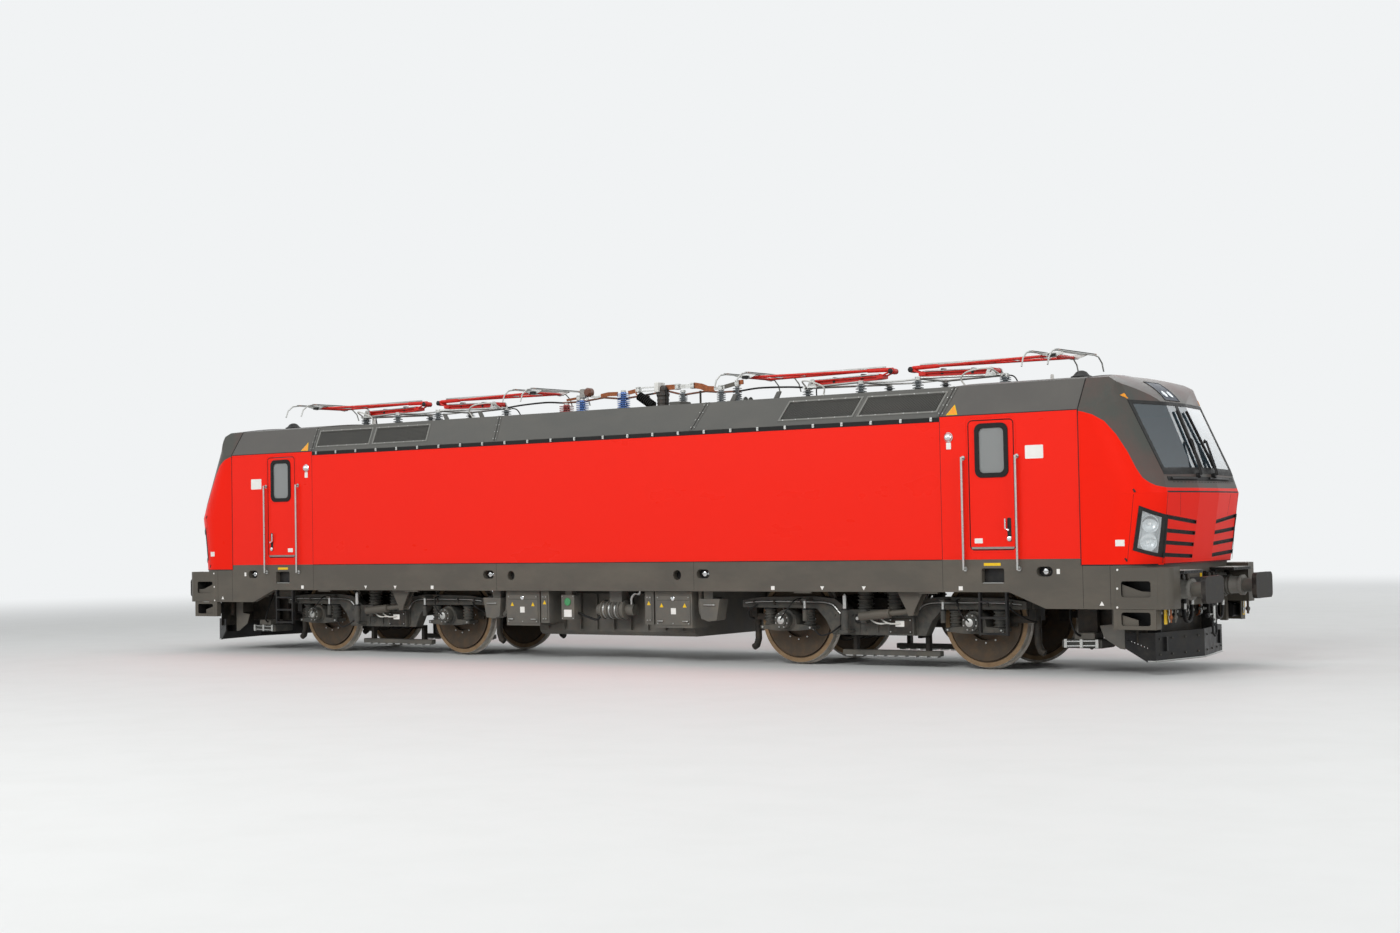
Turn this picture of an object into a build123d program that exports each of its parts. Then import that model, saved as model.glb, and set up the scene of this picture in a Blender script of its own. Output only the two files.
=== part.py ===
from build123d import *

import os
from math import atan2, cos, sin

# Four-axle electric locomotive with two cabs, two bogies and four roof pantographs.
#
# Millimetres. +X runs along the body towards cab 2, +Y across it to the left, +Z up.
# Heights in this source are above the rail, at the middle of the body. write() lifts every
# piece by the depth of the wheel flanges, so the locomotive stands on z = 0 with its flanges.
# Both ends of the body are mirror images; the two bogies are alike.

os.makedirs("parts", exist_ok=True)

# Body
HALF_OVER_BUFFERS = 9490
HEADSTOCK_X = 8870
SEAM_X = 7978
SEAM_GAP = 8
WALL_JOINT_X = 5985
HALF_WIDTH = 1506
SILL_BOTTOM = 1040
SILL_TOP = 1467
NOSE_BOTTOM = 1380
WALL = 60
WALL_TOP_CAB = 3366
WALL_TOP_HALL = 3300
ROOF_FOOT = WALL_TOP_HALL + 4
CHEEK_FOOT_Z = 3372
CHEEK_TOP_Y = 1232
CHEEK_TOP_Z = 3780
ROOF_CROWN_Z = 3815
CAB_CROWN_Z = 3870
ROOF_WALL = 55
HOOD_JOINT_X = 1900
HOOD_SLANT = 0.27
PANEL_GAP = 4

# Running gear
BOGIE_X = 4750
AXLE_SPREAD = 1500
WHEEL_R = 625
FLANGE_R = 653
WHEEL_BACK = 680
WHEEL_WIDTH = 135
AXLE_R = 90
JOURNAL_R = 65
JOURNAL_END = 1120
PIVOT_R = 120
RUNNING_GAP = 0.5

# Cab doors
DOOR_X = (6408, 7072)
DOOR_Z = (1590, 3296)
DOOR_GAP = 10
HINGE_INSET = 16
WINDOW_X = (6520, 6976)
WINDOW_Z = (2540, 3250)

# Pantographs: number, pivot x, direction of the collector head from the pivot
PANTOGRAPHS = (
    (1, -6050, -1),
    (2, -3120, 1),
    (3, 3120, -1),
    (4, 6050, 1),
)
PIVOT_Z = 4062
KNEE_Z = 4153
APEX_Z = 4190
LOWER_ARM = 1300
UPPER_ARM = 2340
HEAD_TOP = 4248

ENDS = (-1, 1)
SIDES = (-1, 1)


def write(piece, name):
    """Labels a finished piece, stands it on its flanges and writes it as one file."""
    placed = Pos(0, 0, FLANGE_R - WHEEL_R) * piece.part
    placed.label = name
    export_step(placed, f"parts/{name}.step")


def span_box(x, y, z, mode=Mode.ADD):
    """Box over a span (low, high) of each axis, in the part that is being built."""
    with Locations(((x[0] + x[1]) / 2, (y[0] + y[1]) / 2, (z[0] + z[1]) / 2)):
        Box(abs(x[1] - x[0]), abs(y[1] - y[0]), abs(z[1] - z[0]), mode=mode)


def rod(start, end, radius, mode=Mode.ADD):
    """Round bar between two points, in the part that is being built."""
    way = Vector(*end) - Vector(*start)
    with Locations(Plane(origin=start, z_dir=way)):
        Cylinder(radius, way.length, align=(Align.CENTER, Align.CENTER, Align.MIN), mode=mode)


def rod_path(points, radius):
    """Round bars from point to point with a ball in each bend."""
    for start, end in zip(points, points[1:]):
        rod(start, end, radius)
    with Locations(*points[1:-1]):
        Sphere(radius)


def side_plane(y):
    """Plane of the near side view: local x along the body, local y up, normal -Y."""
    return Plane(origin=(0, y, 0), x_dir=(1, 0, 0), z_dir=(0, -1, 0))


def front_plane(x):
    """Plane of the end view: local x is +Y, local y up, normal +X."""
    return Plane(origin=(x, 0, 0), x_dir=(0, 1, 0), z_dir=(1, 0, 0))


def side_slab(points, y, mode=Mode.ADD):
    """Flat piece with a side-view outline, over a span of y, in the part being built."""
    with BuildSketch(side_plane(y[1])) as outline:
        Polygon(*points, align=None)
    extrude(outline.sketch, amount=y[1] - y[0], mode=mode)


def damper(start, end, radius):
    """Hydraulic damper between two eyes: a wide cylinder and a thinner rod."""
    a, b = Vector(*start), Vector(*end)
    middle = a + (b - a) * 0.58
    rod(start, (middle.X, middle.Y, middle.Z), radius)
    rod((middle.X, middle.Y, middle.Z), end, radius * 0.6)


def four_corners():
    """Copies what the +X, -Y corner of the body carries to the other three corners."""
    mirror(about=Plane.XZ)
    mirror(about=Plane.YZ)


# Underframe: skirt with rounded corners, floor plates, cross beams and pivot pins
SKIRT_LOW = 575
SKIRT_MID = 830
SKIRT_THICK = 90
SKIRT_SLOPE_X = (6960, 7476)
STEP_POST_X = 8405
CORNER_R = 410
INNER_Y = HALF_WIDTH - 80
FLOOR_Z = (1437, SILL_TOP)
LOWER_FLOOR_Z = (1342, 1372)
BEAM_TOP = 1360
BOLSTER_BOTTOM = 1150
CROSS_BEAMS = (  # middle x, half length, underside z
    (0, 150, 1100),
    (2250, 110, 1200),
    (BOGIE_X, 330, BOLSTER_BOTTOM),
    (7060, 90, 1200),
    (8500, 90, 1000),
)
SKIRT_POCKETS = (  # middle x, middle z, length, height, corner radius
    (6728, 1252, 330, 200, 25),
    (8712, 1082, 392, 200, 30),
    (8705, 708, 388, 168, 30),
    (2065, 1290, 230, 130, 64),
    (7470, 1307, 230, 130, 64),
    (1600, 1275, 144, 144, 71),
)
POCKET_CUT = 262
DAMPER_FORK_X = 660
DAMPER_FORK_Z = 775
DAMPER_Y = 1318
DAMPER_PLATES = ((1360, 1380), (1248, 1268))
PIN_BOTTOM = 640
POCKET = ((8080, 8790), (-240, 240), (890, 1345))
BULKHEAD = ((8556, 8590), (-860, 860), (620, 1010))
AIR_TANK_X = (7260, 8360)
AIR_TANK_Y = 700
AIR_TANK_Z = 1010
AIR_TANK_R = 125
TANK_STRAPS_X = (7420, 8180)
JACK_PAD_X = (3750, 5750)
JACK_PAD_Z = (1018, SILL_BOTTOM)


with BuildPart() as underframe:
    with BuildSketch(Plane.XY.offset(SKIRT_LOW)):
        RectangleRounded(2 * HEADSTOCK_X, 2 * HALF_WIDTH, CORNER_R)
        RectangleRounded(
            2 * (HEADSTOCK_X - SKIRT_THICK), 2 * (HALF_WIDTH - SKIRT_THICK), CORNER_R - SKIRT_THICK,
            mode=Mode.SUBTRACT,
        )
    extrude(amount=SILL_TOP - SKIRT_LOW)
    # Below the skirt's lower line, and above it under the noses, the side view is open
    with BuildSketch(side_plane(HALF_WIDTH + 10)):
        with BuildLine():
            Polyline(
                (-STEP_POST_X, SKIRT_LOW - 5), (-STEP_POST_X, SKIRT_MID),
                (-SKIRT_SLOPE_X[1], SKIRT_MID), (-SKIRT_SLOPE_X[0], SILL_BOTTOM),
                (SKIRT_SLOPE_X[0], SILL_BOTTOM), (SKIRT_SLOPE_X[1], SKIRT_MID),
                (STEP_POST_X, SKIRT_MID), (STEP_POST_X, SKIRT_LOW - 5), close=True,
            )
        make_face()
        with Locations(*[(s * (SEAM_X + 600), (SILL_TOP + NOSE_BOTTOM) / 2 + 40) for s in ENDS]):
            Rectangle(1200, SILL_TOP - NOSE_BOTTOM + 80)
    extrude(amount=2 * HALF_WIDTH + 20, mode=Mode.SUBTRACT)
    # Between the corner posts the front is open below the headstock
    with BuildSketch(front_plane(-HEADSTOCK_X - 10)):
        with Locations((0, (SKIRT_LOW + SKIRT_MID) / 2 - 5)):
            Rectangle(2 * (HALF_WIDTH - CORNER_R), SKIRT_MID - SKIRT_LOW + 10)
    extrude(amount=2 * HEADSTOCK_X + 20, mode=Mode.SUBTRACT)
    span_box((-SEAM_X, SEAM_X), (-INNER_Y, INNER_Y), FLOOR_Z)
    span_box((-8790, 8790), (-1350, 1350), LOWER_FLOOR_Z)
    span_box((CORNER_R - HEADSTOCK_X, HEADSTOCK_X - CORNER_R), (-INNER_Y, INNER_Y), LOWER_FLOOR_Z)
    for x, half, low in CROSS_BEAMS:
        for s in ENDS if x else (1,):
            span_box((s * x - half, s * x + half), (-INNER_Y, INNER_Y), (low, BEAM_TOP))
    span_box((-8500, 8500), (-250, 250), (1300, BEAM_TOP))
    for s in ENDS:
        for x, y, z in (POCKET, BULKHEAD):
            span_box((s * x[0], s * x[1]), y, z)
        for y in (-AIR_TANK_Y, AIR_TANK_Y):
            rod((s * AIR_TANK_X[0], y, AIR_TANK_Z), (s * AIR_TANK_X[1], y, AIR_TANK_Z), AIR_TANK_R)
            for x in TANK_STRAPS_X:
                span_box((s * x - 25, s * x + 25), (y - 15, y + 15), (AIR_TANK_Z, LOWER_FLOOR_Z[0] + 5))
        span_box(
            (s * (SEAM_X - 60), s * SEAM_X), (-INNER_Y, INNER_Y), (LOWER_FLOOR_Z[1] - 5, FLOOR_Z[0] + 5)
        )
    # Step pockets, corner steps, lifting holes and filler pockets
    for y in (HALF_WIDTH + 10, POCKET_CUT - HALF_WIDTH - 10):
        with BuildSketch(side_plane(y)):
            for s in ENDS:
                for x, z, length, height, radius in SKIRT_POCKETS:
                    with Locations((s * x, z)):
                        RectangleRounded(length, height, radius)
        extrude(amount=POCKET_CUT, mode=Mode.SUBTRACT)
    # Forks for the yaw dampers, and pads for the jacks
    for s in ENDS:
        for side in SIDES:
            foot = s * BOGIE_X - side * DAMPER_FORK_X
            for near, far in DAMPER_PLATES:
                side_slab(
                    (
                        (foot - 185, BEAM_TOP - 20), (foot - 185, 1010), (foot - 62, 790), (foot - 40, 715),
                        (foot + 40, 715), (foot + 62, 790), (foot + 185, 1010), (foot + 185, BEAM_TOP - 20),
                    ),
                    sorted((side * near, side * far)),
                )
            eye = (foot, side * DAMPER_Y, DAMPER_FORK_Z)
            damper((foot + side * 830, side * DAMPER_Y, 695), eye, 62)
            inner, outer = side * (DAMPER_PLATES[1][0] + 1), side * DAMPER_PLATES[0][1]
            rod((foot, inner, DAMPER_FORK_Z), (foot, outer, DAMPER_FORK_Z), 22)
            span_box((foot - 185, foot + 185), (inner - side, side * INNER_Y), (1240, BEAM_TOP - 20))
            for x in JACK_PAD_X:
                span_box((s * x - 140, s * x + 140), (side * 1440, side * 1490), JACK_PAD_Z)
    # Pins that the bogies turn about
    with BuildSketch(Plane.XY.offset(PIN_BOTTOM)):
        with Locations((-BOGIE_X, 0), (BOGIE_X, 0)):
            Circle(PIVOT_R)
    extrude(amount=BOLSTER_BOTTOM - PIN_BOTTOM + 5)
write(underframe, "underframe")

# Side walls of the machine room, plain sheets between the wall joints
with BuildPart() as hall_walls:
    span_box((-WALL_JOINT_X, WALL_JOINT_X), (-HALF_WIDTH, WALL - HALF_WIDTH), (SILL_TOP + 2, WALL_TOP_HALL))
    mirror(about=Plane.XZ)
write(hall_walls, "hall_walls")

# Cab sides with their door openings, and the fixed half of the door hinges
HINGE_Z = (1850, 2950)
HINGE_KNUCKLE = 60
HINGE_R = 10
HINGE_PIN_R = 6
hinge_x = DOOR_X[0] + DOOR_GAP
hinge_y = WALL - HALF_WIDTH + HINGE_INSET
with BuildPart() as cab_sides:
    with BuildSketch(side_plane(WALL - HALF_WIDTH)):
        with Locations(((WALL_JOINT_X + PANEL_GAP + SEAM_X) / 2, (SILL_TOP + 2 + WALL_TOP_CAB) / 2)):
            Rectangle(SEAM_X - WALL_JOINT_X - PANEL_GAP, WALL_TOP_CAB - SILL_TOP - 2)
        with Locations((sum(DOOR_X) / 2, sum(DOOR_Z) / 2)):
            RectangleRounded(DOOR_X[1] - DOOR_X[0], DOOR_Z[1] - DOOR_Z[0], 60, mode=Mode.SUBTRACT)
    extrude(amount=WALL)
    # A shallow frame round the opening
    with BuildSketch(side_plane(-HALF_WIDTH)):
        with Locations((sum(DOOR_X) / 2, sum(DOOR_Z) / 2)):
            RectangleRounded(DOOR_X[1] - DOOR_X[0] + 60, DOOR_Z[1] - DOOR_Z[0] + 60, 80)
            RectangleRounded(DOOR_X[1] - DOOR_X[0] + 52, DOOR_Z[1] - DOOR_Z[0] + 52, 77, mode=Mode.SUBTRACT)
    extrude(amount=-5, mode=Mode.SUBTRACT)
    for z in HINGE_Z:
        for low in (z - HINGE_KNUCKLE, z + HINGE_KNUCKLE):
            rod((hinge_x, hinge_y, low - 29), (hinge_x, hinge_y, low + 29), HINGE_R)
            span_box((hinge_x - 90, hinge_x), (WALL - HALF_WIDTH, hinge_y + 4), (low - 29, low + 29))
        rod((hinge_x, hinge_y, z - 70), (hinge_x, hinge_y, z + 70), HINGE_PIN_R)
    four_corners()
write(cab_sides, "cab_sides")

# Cab doors swing inwards about the edge at the machine-room side
DOORS = ((1, -1, -1), (2, -1, 1), (3, 1, -1), (4, 1, 1))  # number, end, side
PANE_FIT = 1
PANE_SIZE = (WINDOW_X[1] - WINDOW_X[0] - 50, WINDOW_Z[1] - WINDOW_Z[0] - 50)
HANDLE_X = 6985
with BuildPart() as cab_door:
    with BuildSketch(side_plane(WALL - HALF_WIDTH)):
        with Locations((sum(DOOR_X) / 2, sum(DOOR_Z) / 2)):
            RectangleRounded(DOOR_X[1] - DOOR_X[0] - 2 * DOOR_GAP, DOOR_Z[1] - DOOR_Z[0] - 2 * DOOR_GAP, 50)
        with Locations((sum(WINDOW_X) / 2, sum(WINDOW_Z) / 2)):
            RectangleRounded(PANE_SIZE[0], PANE_SIZE[1], 75, mode=Mode.SUBTRACT)
    extrude(amount=WALL)
    # Rubber seat round the window stands a little proud of the leaf
    with BuildSketch(side_plane(-HALF_WIDTH)):
        with Locations((sum(WINDOW_X) / 2, sum(WINDOW_Z) / 2)):
            RectangleRounded(WINDOW_X[1] - WINDOW_X[0], WINDOW_Z[1] - WINDOW_Z[0], 98)
            RectangleRounded(PANE_SIZE[0], PANE_SIZE[1], 75, mode=Mode.SUBTRACT)
    extrude(amount=12)
    # Lever handle with its escutcheon
    rod((HANDLE_X, -HALF_WIDTH, 1850), (HANDLE_X, -HALF_WIDTH - 45, 1850), 14)
    rod((HANDLE_X, -HALF_WIDTH, 1735), (HANDLE_X, -HALF_WIDTH - 18, 1735), 30)
    rod((HANDLE_X, -HALF_WIDTH - 38, 1850), (HANDLE_X - 45, -HALF_WIDTH - 38, 1870), 10)
    rod((HANDLE_X - 45, -HALF_WIDTH - 38, 1862), (HANDLE_X - 45, -HALF_WIDTH - 38, 1995), 10)
    for z in HINGE_Z:
        rod((hinge_x, hinge_y, z - 30), (hinge_x, hinge_y, z + 30), HINGE_R)
        span_box((hinge_x, hinge_x + 80), (WALL - HALF_WIDTH - 1, hinge_y + 4), (z - 30, z + 30))
        bore = HINGE_PIN_R + RUNNING_GAP
        rod((hinge_x, hinge_y, z - 31), (hinge_x, hinge_y, z + 31), bore, mode=Mode.SUBTRACT)
with BuildPart() as door_pane:
    with BuildSketch(side_plane(-HALF_WIDTH + 22)):
        with Locations((sum(WINDOW_X) / 2, sum(WINDOW_Z) / 2)):
            RectangleRounded(PANE_SIZE[0] - PANE_FIT, PANE_SIZE[1] - PANE_FIT, 74)
    extrude(amount=14)
for number, end, side in DOORS:
    for piece, name in ((cab_door, "cab_door"), (door_pane, "door_pane")):
        with BuildPart() as placed:
            turned = piece.part
            if end < 0:
                turned = mirror(turned, about=Plane.YZ, mode=Mode.PRIVATE)
            if side > 0:
                turned = mirror(turned, about=Plane.XZ, mode=Mode.PRIVATE)
            add(turned)
        write(placed, f"{name}_{number}")


def roof_section(crown_z, foot_z):
    """Half ring of the roof in the end view, foot to foot, with an arched top."""
    with BuildLine() as outline:
        for inset in (0, ROOF_WALL):
            side = HALF_WIDTH - inset
            top_y, top_z = CHEEK_TOP_Y - inset * 0.54, CHEEK_TOP_Z - inset
            for s in SIDES:
                Line((s * side, foot_z), (s * side, CHEEK_FOOT_Z))
                Line((s * side, CHEEK_FOOT_Z), (s * top_y, top_z))
            ThreePointArc((-top_y, top_z), (0, crown_z - inset), (top_y, top_z))
        for s in SIDES:
            Line((s * HALF_WIDTH, foot_z), (s * (HALF_WIDTH - ROOF_WALL), foot_z))
    make_face(outline.edges())


def between_joints(x0, x1):
    """Keeps what lies between two hood joints, which lean outwards above the foot of the cheek."""
    low, knee, high = ROOF_FOOT - 50, CHEEK_FOOT_Z, CAB_CROWN_Z + 50
    lean0, lean1 = [(1 if x > 0 else -1) * HOOD_SLANT * (high - knee) for x in (x0, x1)]
    side_slab(
        ((x0, low), (x1, low), (x1, knee), (x1 + lean1, high), (x0 + lean0, high), (x0, knee)),
        (-HALF_WIDTH - 50, HALF_WIDTH + 50), mode=Mode.INTERSECT,
    )


# Roof: three hoods that lift off the machine room, with air intakes sunk in their cheeks
HOODS = (
    (-WALL_JOINT_X, -HOOD_JOINT_X - PANEL_GAP),
    (-HOOD_JOINT_X, HOOD_JOINT_X),
    (HOOD_JOINT_X + PANEL_GAP, WALL_JOINT_X),
)
INTAKES = ((3450, 4625), (4740, 5945))
INTAKE_HEIGHT = 300
INTAKE_DEPTH = 26
hood_parts = []
for x0, x1 in HOODS:
    with BuildPart() as hood:
        with BuildSketch(front_plane(x0 - 300)):
            roof_section(ROOF_CROWN_Z, ROOF_FOOT)
        extrude(amount=x1 - x0 + 600)
        between_joints(x0, x1)
    hood_parts.append(hood.part)
cheek_tilt = atan2(CHEEK_TOP_Z - CHEEK_FOOT_Z, HALF_WIDTH - CHEEK_TOP_Y)
cheek_mid = ((HALF_WIDTH + CHEEK_TOP_Y) / 2, (CHEEK_TOP_Z + CHEEK_FOOT_Z) / 2)
with BuildPart() as roof_hoods:
    add(hood_parts)
    for s in ENDS:
        for side in SIDES:
            for x0, x1 in INTAKES:
                cheek = Plane(
                    origin=(s * (x0 + x1) / 2, side * cheek_mid[0], cheek_mid[1]),
                    x_dir=(1, 0, 0),
                    z_dir=(0, side * sin(cheek_tilt), cos(cheek_tilt)),
                )
                with BuildSketch(cheek):
                    lean = s * HOOD_SLANT * INTAKE_HEIGHT * sin(cheek_tilt) / 2
                    half, up = (x1 - x0) / 2, INTAKE_HEIGHT / 2
                    # Plane's local y points up the cheek on one side and down it on the other
                    up = up if cheek.y_dir.Z > 0 else -up
                    Polygon(
                        (-half - lean, -up), (half - lean, -up), (half + lean, up), (-half + lean, up),
                        align=None,
                    )
                extrude(amount=-INTAKE_DEPTH, mode=Mode.SUBTRACT)
write(roof_hoods, "roof_hoods")

with BuildPart() as cab_roofs:
    with BuildSketch(front_plane(WALL_JOINT_X + PANEL_GAP)):
        roof_section(CAB_CROWN_Z, WALL_TOP_CAB + 3)
    extrude(amount=SEAM_X - WALL_JOINT_X - PANEL_GAP)
    between_joints(WALL_JOINT_X + PANEL_GAP, 2 * SEAM_X)
    mirror(about=Plane.YZ)
write(cab_roofs, "cab_roofs")

# Cab noses: plan outlines by height, a flat bow between two flanks and rounded cheeks
NOSE_BACK = SEAM_X + SEAM_GAP
BOW_HALF = 330
NOSE_WALL = 70
NOSE_OUTLINE = (  # height, bow x, corner x, corner y, where the side starts to curve
    (NOSE_BOTTOM, 8975, 8940, 1105, 8430),
    (2285, 9115, 9040, 1222, 8450),
    (2560, 9035, 8970, 1165, 8370),
    (3450, 8680, 8548, 1190, 8030),
    (3905, 8500, 8370, 1195, 7995),
)


def nose_plan(row, inset):
    """Plan outline of a nose at one height, drawn on the sketch that is being built."""
    _, bow, corner_x, corner_y, side_x = row
    half = HALF_WIDTH - inset
    back = NOSE_BACK - (10 if inset else 0)
    corner = (corner_x - inset, corner_y - inset * 0.5)
    with BuildLine() as outline:
        for s in SIDES:
            Line((back, s * half), (side_x - inset * 0.2, s * half))
            TangentArc((side_x - inset * 0.2, s * half), (corner[0], s * corner[1]), tangent=(1, 0))
            Line((corner[0], s * corner[1]), (bow - inset, s * BOW_HALF))
        Line((bow - inset, -BOW_HALF), (bow - inset, BOW_HALF))
        Line((back, -half), (back, half))
    make_face(outline.edges())


def nose_body(inset):
    """Nose under its outer skin by an inset, stacked from its plans, for the part being built."""
    plans = []
    for row in NOSE_OUTLINE:
        low = inset if row is NOSE_OUTLINE[0] else 0
        with BuildSketch(Plane.XY.offset(row[0] + low)) as plan:
            nose_plan(row, inset)
        plans.append(plan.sketch)
    loft(plans, ruled=True)


def crown(inset):
    """Cuts the top of the nose to the cross-section of the roof and to the curve of the brow."""
    foot, top = CHEEK_FOOT_Z - inset * 0.27, CHEEK_TOP_Z - inset
    with BuildSketch(front_plane(NOSE_BACK - 20)) as section:
        with BuildLine() as line:
            ThreePointArc((-CHEEK_TOP_Y, top), (0, CAB_CROWN_Z - inset), (CHEEK_TOP_Y, top))
            for s in SIDES:
                Polyline((s * CHEEK_TOP_Y, top), (s * HALF_WIDTH, foot), (s * 2000, foot), (s * 2000, 4200))
            Line((-2000, 4200), (2000, 4200))
        make_face(line.edges())
    extrude(section.sketch, amount=1400, mode=Mode.SUBTRACT)
    start, end = (7900, CAB_CROWN_Z + 6 - inset), (8680 - inset * 0.8, 3440)
    with BuildSketch(side_plane(1600)) as brow:
        with BuildLine() as line:
            ThreePointArc(start, (8330 - inset * 0.5, 3765 - inset * 0.8), end)
            Polyline(end, (9400, 3440), (9400, 4300), (7900, 4300), start)
        make_face(line.edges())
    extrude(brow.sketch, amount=3200, mode=Mode.SUBTRACT)


PILLAR = 45
PANE_LOW = (2575, 2560)
PANE_HIGH = 3430
PANE_OUT = (1128, 1158)
GLASS = 22


def pane_outline(grow):
    """Both windscreen panes in the end view, grown by an amount all round."""
    for s in SIDES:
        Polygon(
            (s * (PILLAR - grow), PANE_LOW[0] - grow), (s * (PANE_OUT[0] + grow), PANE_LOW[1] - grow),
            (s * (PANE_OUT[1] + grow), PANE_HIGH + grow), (s * (PILLAR - grow), PANE_HIGH + grow),
            align=None,
        )


LAMP_SIDE = ((8772, 2090), (9012, 1977), (8992, 1473), (8692, 1585))
LAMP_Y = (1172, 1506)
LAMP_DEPTH = 40
GRILLE_SLOTS = ((1982, 1906), (1810, 1765), (1660, 1620), (1504, 1470))  # outer z, inner z
SLOT_Y = (345, 1165)
SLOT_HALF = 18
SLOT_DEPTH = 45
with BuildPart() as nose_outer:
    nose_body(0)
    crown(0)
with BuildPart() as nose_inner:
    nose_body(NOSE_WALL)
    crown(NOSE_WALL)
with BuildPart() as under_glass:
    nose_body(GLASS)
with BuildPart() as under_lamp:
    nose_body(LAMP_DEPTH)
with BuildPart() as under_slots:
    nose_body(SLOT_DEPTH)


def lamp_outline(grow):
    """Prism through the cheek that bounds one headlamp unit."""
    with BuildSketch(side_plane(-LAMP_Y[0] + grow)) as outline:
        Polygon(*LAMP_SIDE, align=None)
        if grow:
            offset(amount=grow, kind=Kind.INTERSECTION)
    return extrude(outline.sketch, amount=LAMP_Y[1] - LAMP_Y[0], mode=Mode.PRIVATE)


with BuildPart() as headlamps:
    add(nose_outer.part)
    add(under_lamp.part, mode=Mode.SUBTRACT)
    add(lamp_outline(0), mode=Mode.INTERSECT)
    four_corners()
write(headlamps, "headlamps")

with BuildPart() as slot_cutter:
    with BuildSketch(front_plane(8700)):
        for s in SIDES:
            for outer, inner in GRILLE_SLOTS:
                Polygon(
                    (s * SLOT_Y[0], inner - SLOT_HALF), (s * SLOT_Y[1], outer - SLOT_HALF),
                    (s * SLOT_Y[1], outer + SLOT_HALF), (s * SLOT_Y[0], inner + SLOT_HALF), align=None,
                )
    extrude(amount=500)
    add(under_slots.part, mode=Mode.SUBTRACT)

with BuildPart() as cab_shells:
    add(nose_outer.part)
    add(nose_inner.part, mode=Mode.SUBTRACT)
    with BuildSketch(front_plane(8350)):
        pane_outline(0)
    extrude(amount=900, mode=Mode.SUBTRACT)
    lamp_hole = lamp_outline(RUNNING_GAP)
    add(lamp_hole, mode=Mode.SUBTRACT)
    add(mirror(lamp_hole, about=Plane.XZ, mode=Mode.PRIVATE), mode=Mode.SUBTRACT)
    add(slot_cutter.part, mode=Mode.SUBTRACT)
    mirror(about=Plane.YZ)
write(cab_shells, "cab_shells")

with BuildPart() as windscreens:
    add(nose_outer.part)
    add(under_glass.part, mode=Mode.SUBTRACT)
    with BuildSketch(front_plane(8350)):
        pane_outline(-RUNNING_GAP)
    extrude(amount=900, mode=Mode.INTERSECT)
    mirror(about=Plane.YZ)
write(windscreens, "windscreens")

# Inside the cabs: rear walls, desks and chairs
DESK = (
    (8050, SILL_TOP + 3), (8400, SILL_TOP + 3), (8480, 2250), (8700, 2400), (8700, 2470),
    (8400, 2480), (7950, 2330), (7950, 2270), (8180, 2250),
)
SEAT_CUSHION = ((7300, 2060), (7330, 1960), (7830, 1960), (7850, 2040), (7800, 2075), (7420, 2060))
SEAT_BACK = ((7300, 2050), (7400, 2070), (7330, 2700), (7290, 2780), (7230, 2770), (7240, 2690))
with BuildPart() as cab_interiors:
    span_box((6250, 6300), (-1440, 1440), (SILL_TOP + 1, 3290))
    side_slab(DESK, (-1150, 1150))
    side_slab(SEAT_CUSHION, (-250, 250))
    side_slab(SEAT_BACK, (-240, 240))
    rod((7580, 0, SILL_TOP + 1), (7580, 0, 1970), 60)
    mirror(about=Plane.YZ)
write(cab_interiors, "cab_interiors")

# Grab rails beside the doors, ladders below them and step plates over the buffers
RAIL_X = (6330, 7115)
RAIL_Z = (1330, 2820)
RAIL_OUT = 58
LADDER_X = (6515, 6905)
RUNGS_Z = (480, 690, 900)
with BuildPart() as grab_rails:
    for x in RAIL_X:
        y = -HALF_WIDTH - RAIL_OUT
        rod((x, y, RAIL_Z[0]), (x, y, RAIL_Z[1]), 16)
        for z in (RAIL_Z[0] + 14, RAIL_Z[1] - 14):
            rod((x, y, z), (x, -HALF_WIDTH, z), 13)
            rod((x, -HALF_WIDTH - 10, z), (x, -HALF_WIDTH, z), 30)
    four_corners()
write(grab_rails, "grab_rails")

with BuildPart() as cab_ladders:
    for x in LADDER_X:
        span_box((x - 14, x + 14), (-HALF_WIDTH + 6, -HALF_WIDTH + 66), (RUNGS_Z[0] - 10, SILL_BOTTOM))
    for z in RUNGS_Z:
        span_box((LADDER_X[0], LADDER_X[1]), (-HALF_WIDTH + 6, -HALF_WIDTH + 66), (z, z + 28))
    four_corners()
write(cab_ladders, "cab_ladders")

# Buffers: mounting plate, housing with its collar, ram and rounded head
BUFFER_Y = 875
BUFFER_Z = 1060
BUFFER_PROFILE = (  # distance from the headstock, radius
    (0, 0), (0, 165), (30, 165), (30, 128), (120, 118), (300, 112), (300, 136), (345, 136),
    (345, 92), (560, 92), (560, 0),
)
HEAD_SIZE = (600, 340, 60)
with BuildPart() as buffers:
    with BuildSketch(Plane(origin=(HEADSTOCK_X, -BUFFER_Y, BUFFER_Z), x_dir=(1, 0, 0), z_dir=(0, -1, 0))):
        Polygon(*BUFFER_PROFILE, align=None)
    revolve(axis=Axis((HEADSTOCK_X, -BUFFER_Y, BUFFER_Z), (1, 0, 0)))
    span_box(
        (HEADSTOCK_X, HEADSTOCK_X + 26), (-BUFFER_Y - 190, -BUFFER_Y + 190), (BUFFER_Z - 160, BUFFER_Z + 160)
    )
    with BuildSketch(front_plane(HALF_OVER_BUFFERS - HEAD_SIZE[2])):
        with Locations((-BUFFER_Y, BUFFER_Z)):
            RectangleRounded(HEAD_SIZE[0], HEAD_SIZE[1], 70)
    extrude(amount=HEAD_SIZE[2])
    chamfer(buffers.faces().sort_by(Axis.X)[0].edges(), 14)
    four_corners()
write(buffers, "buffers")

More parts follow.
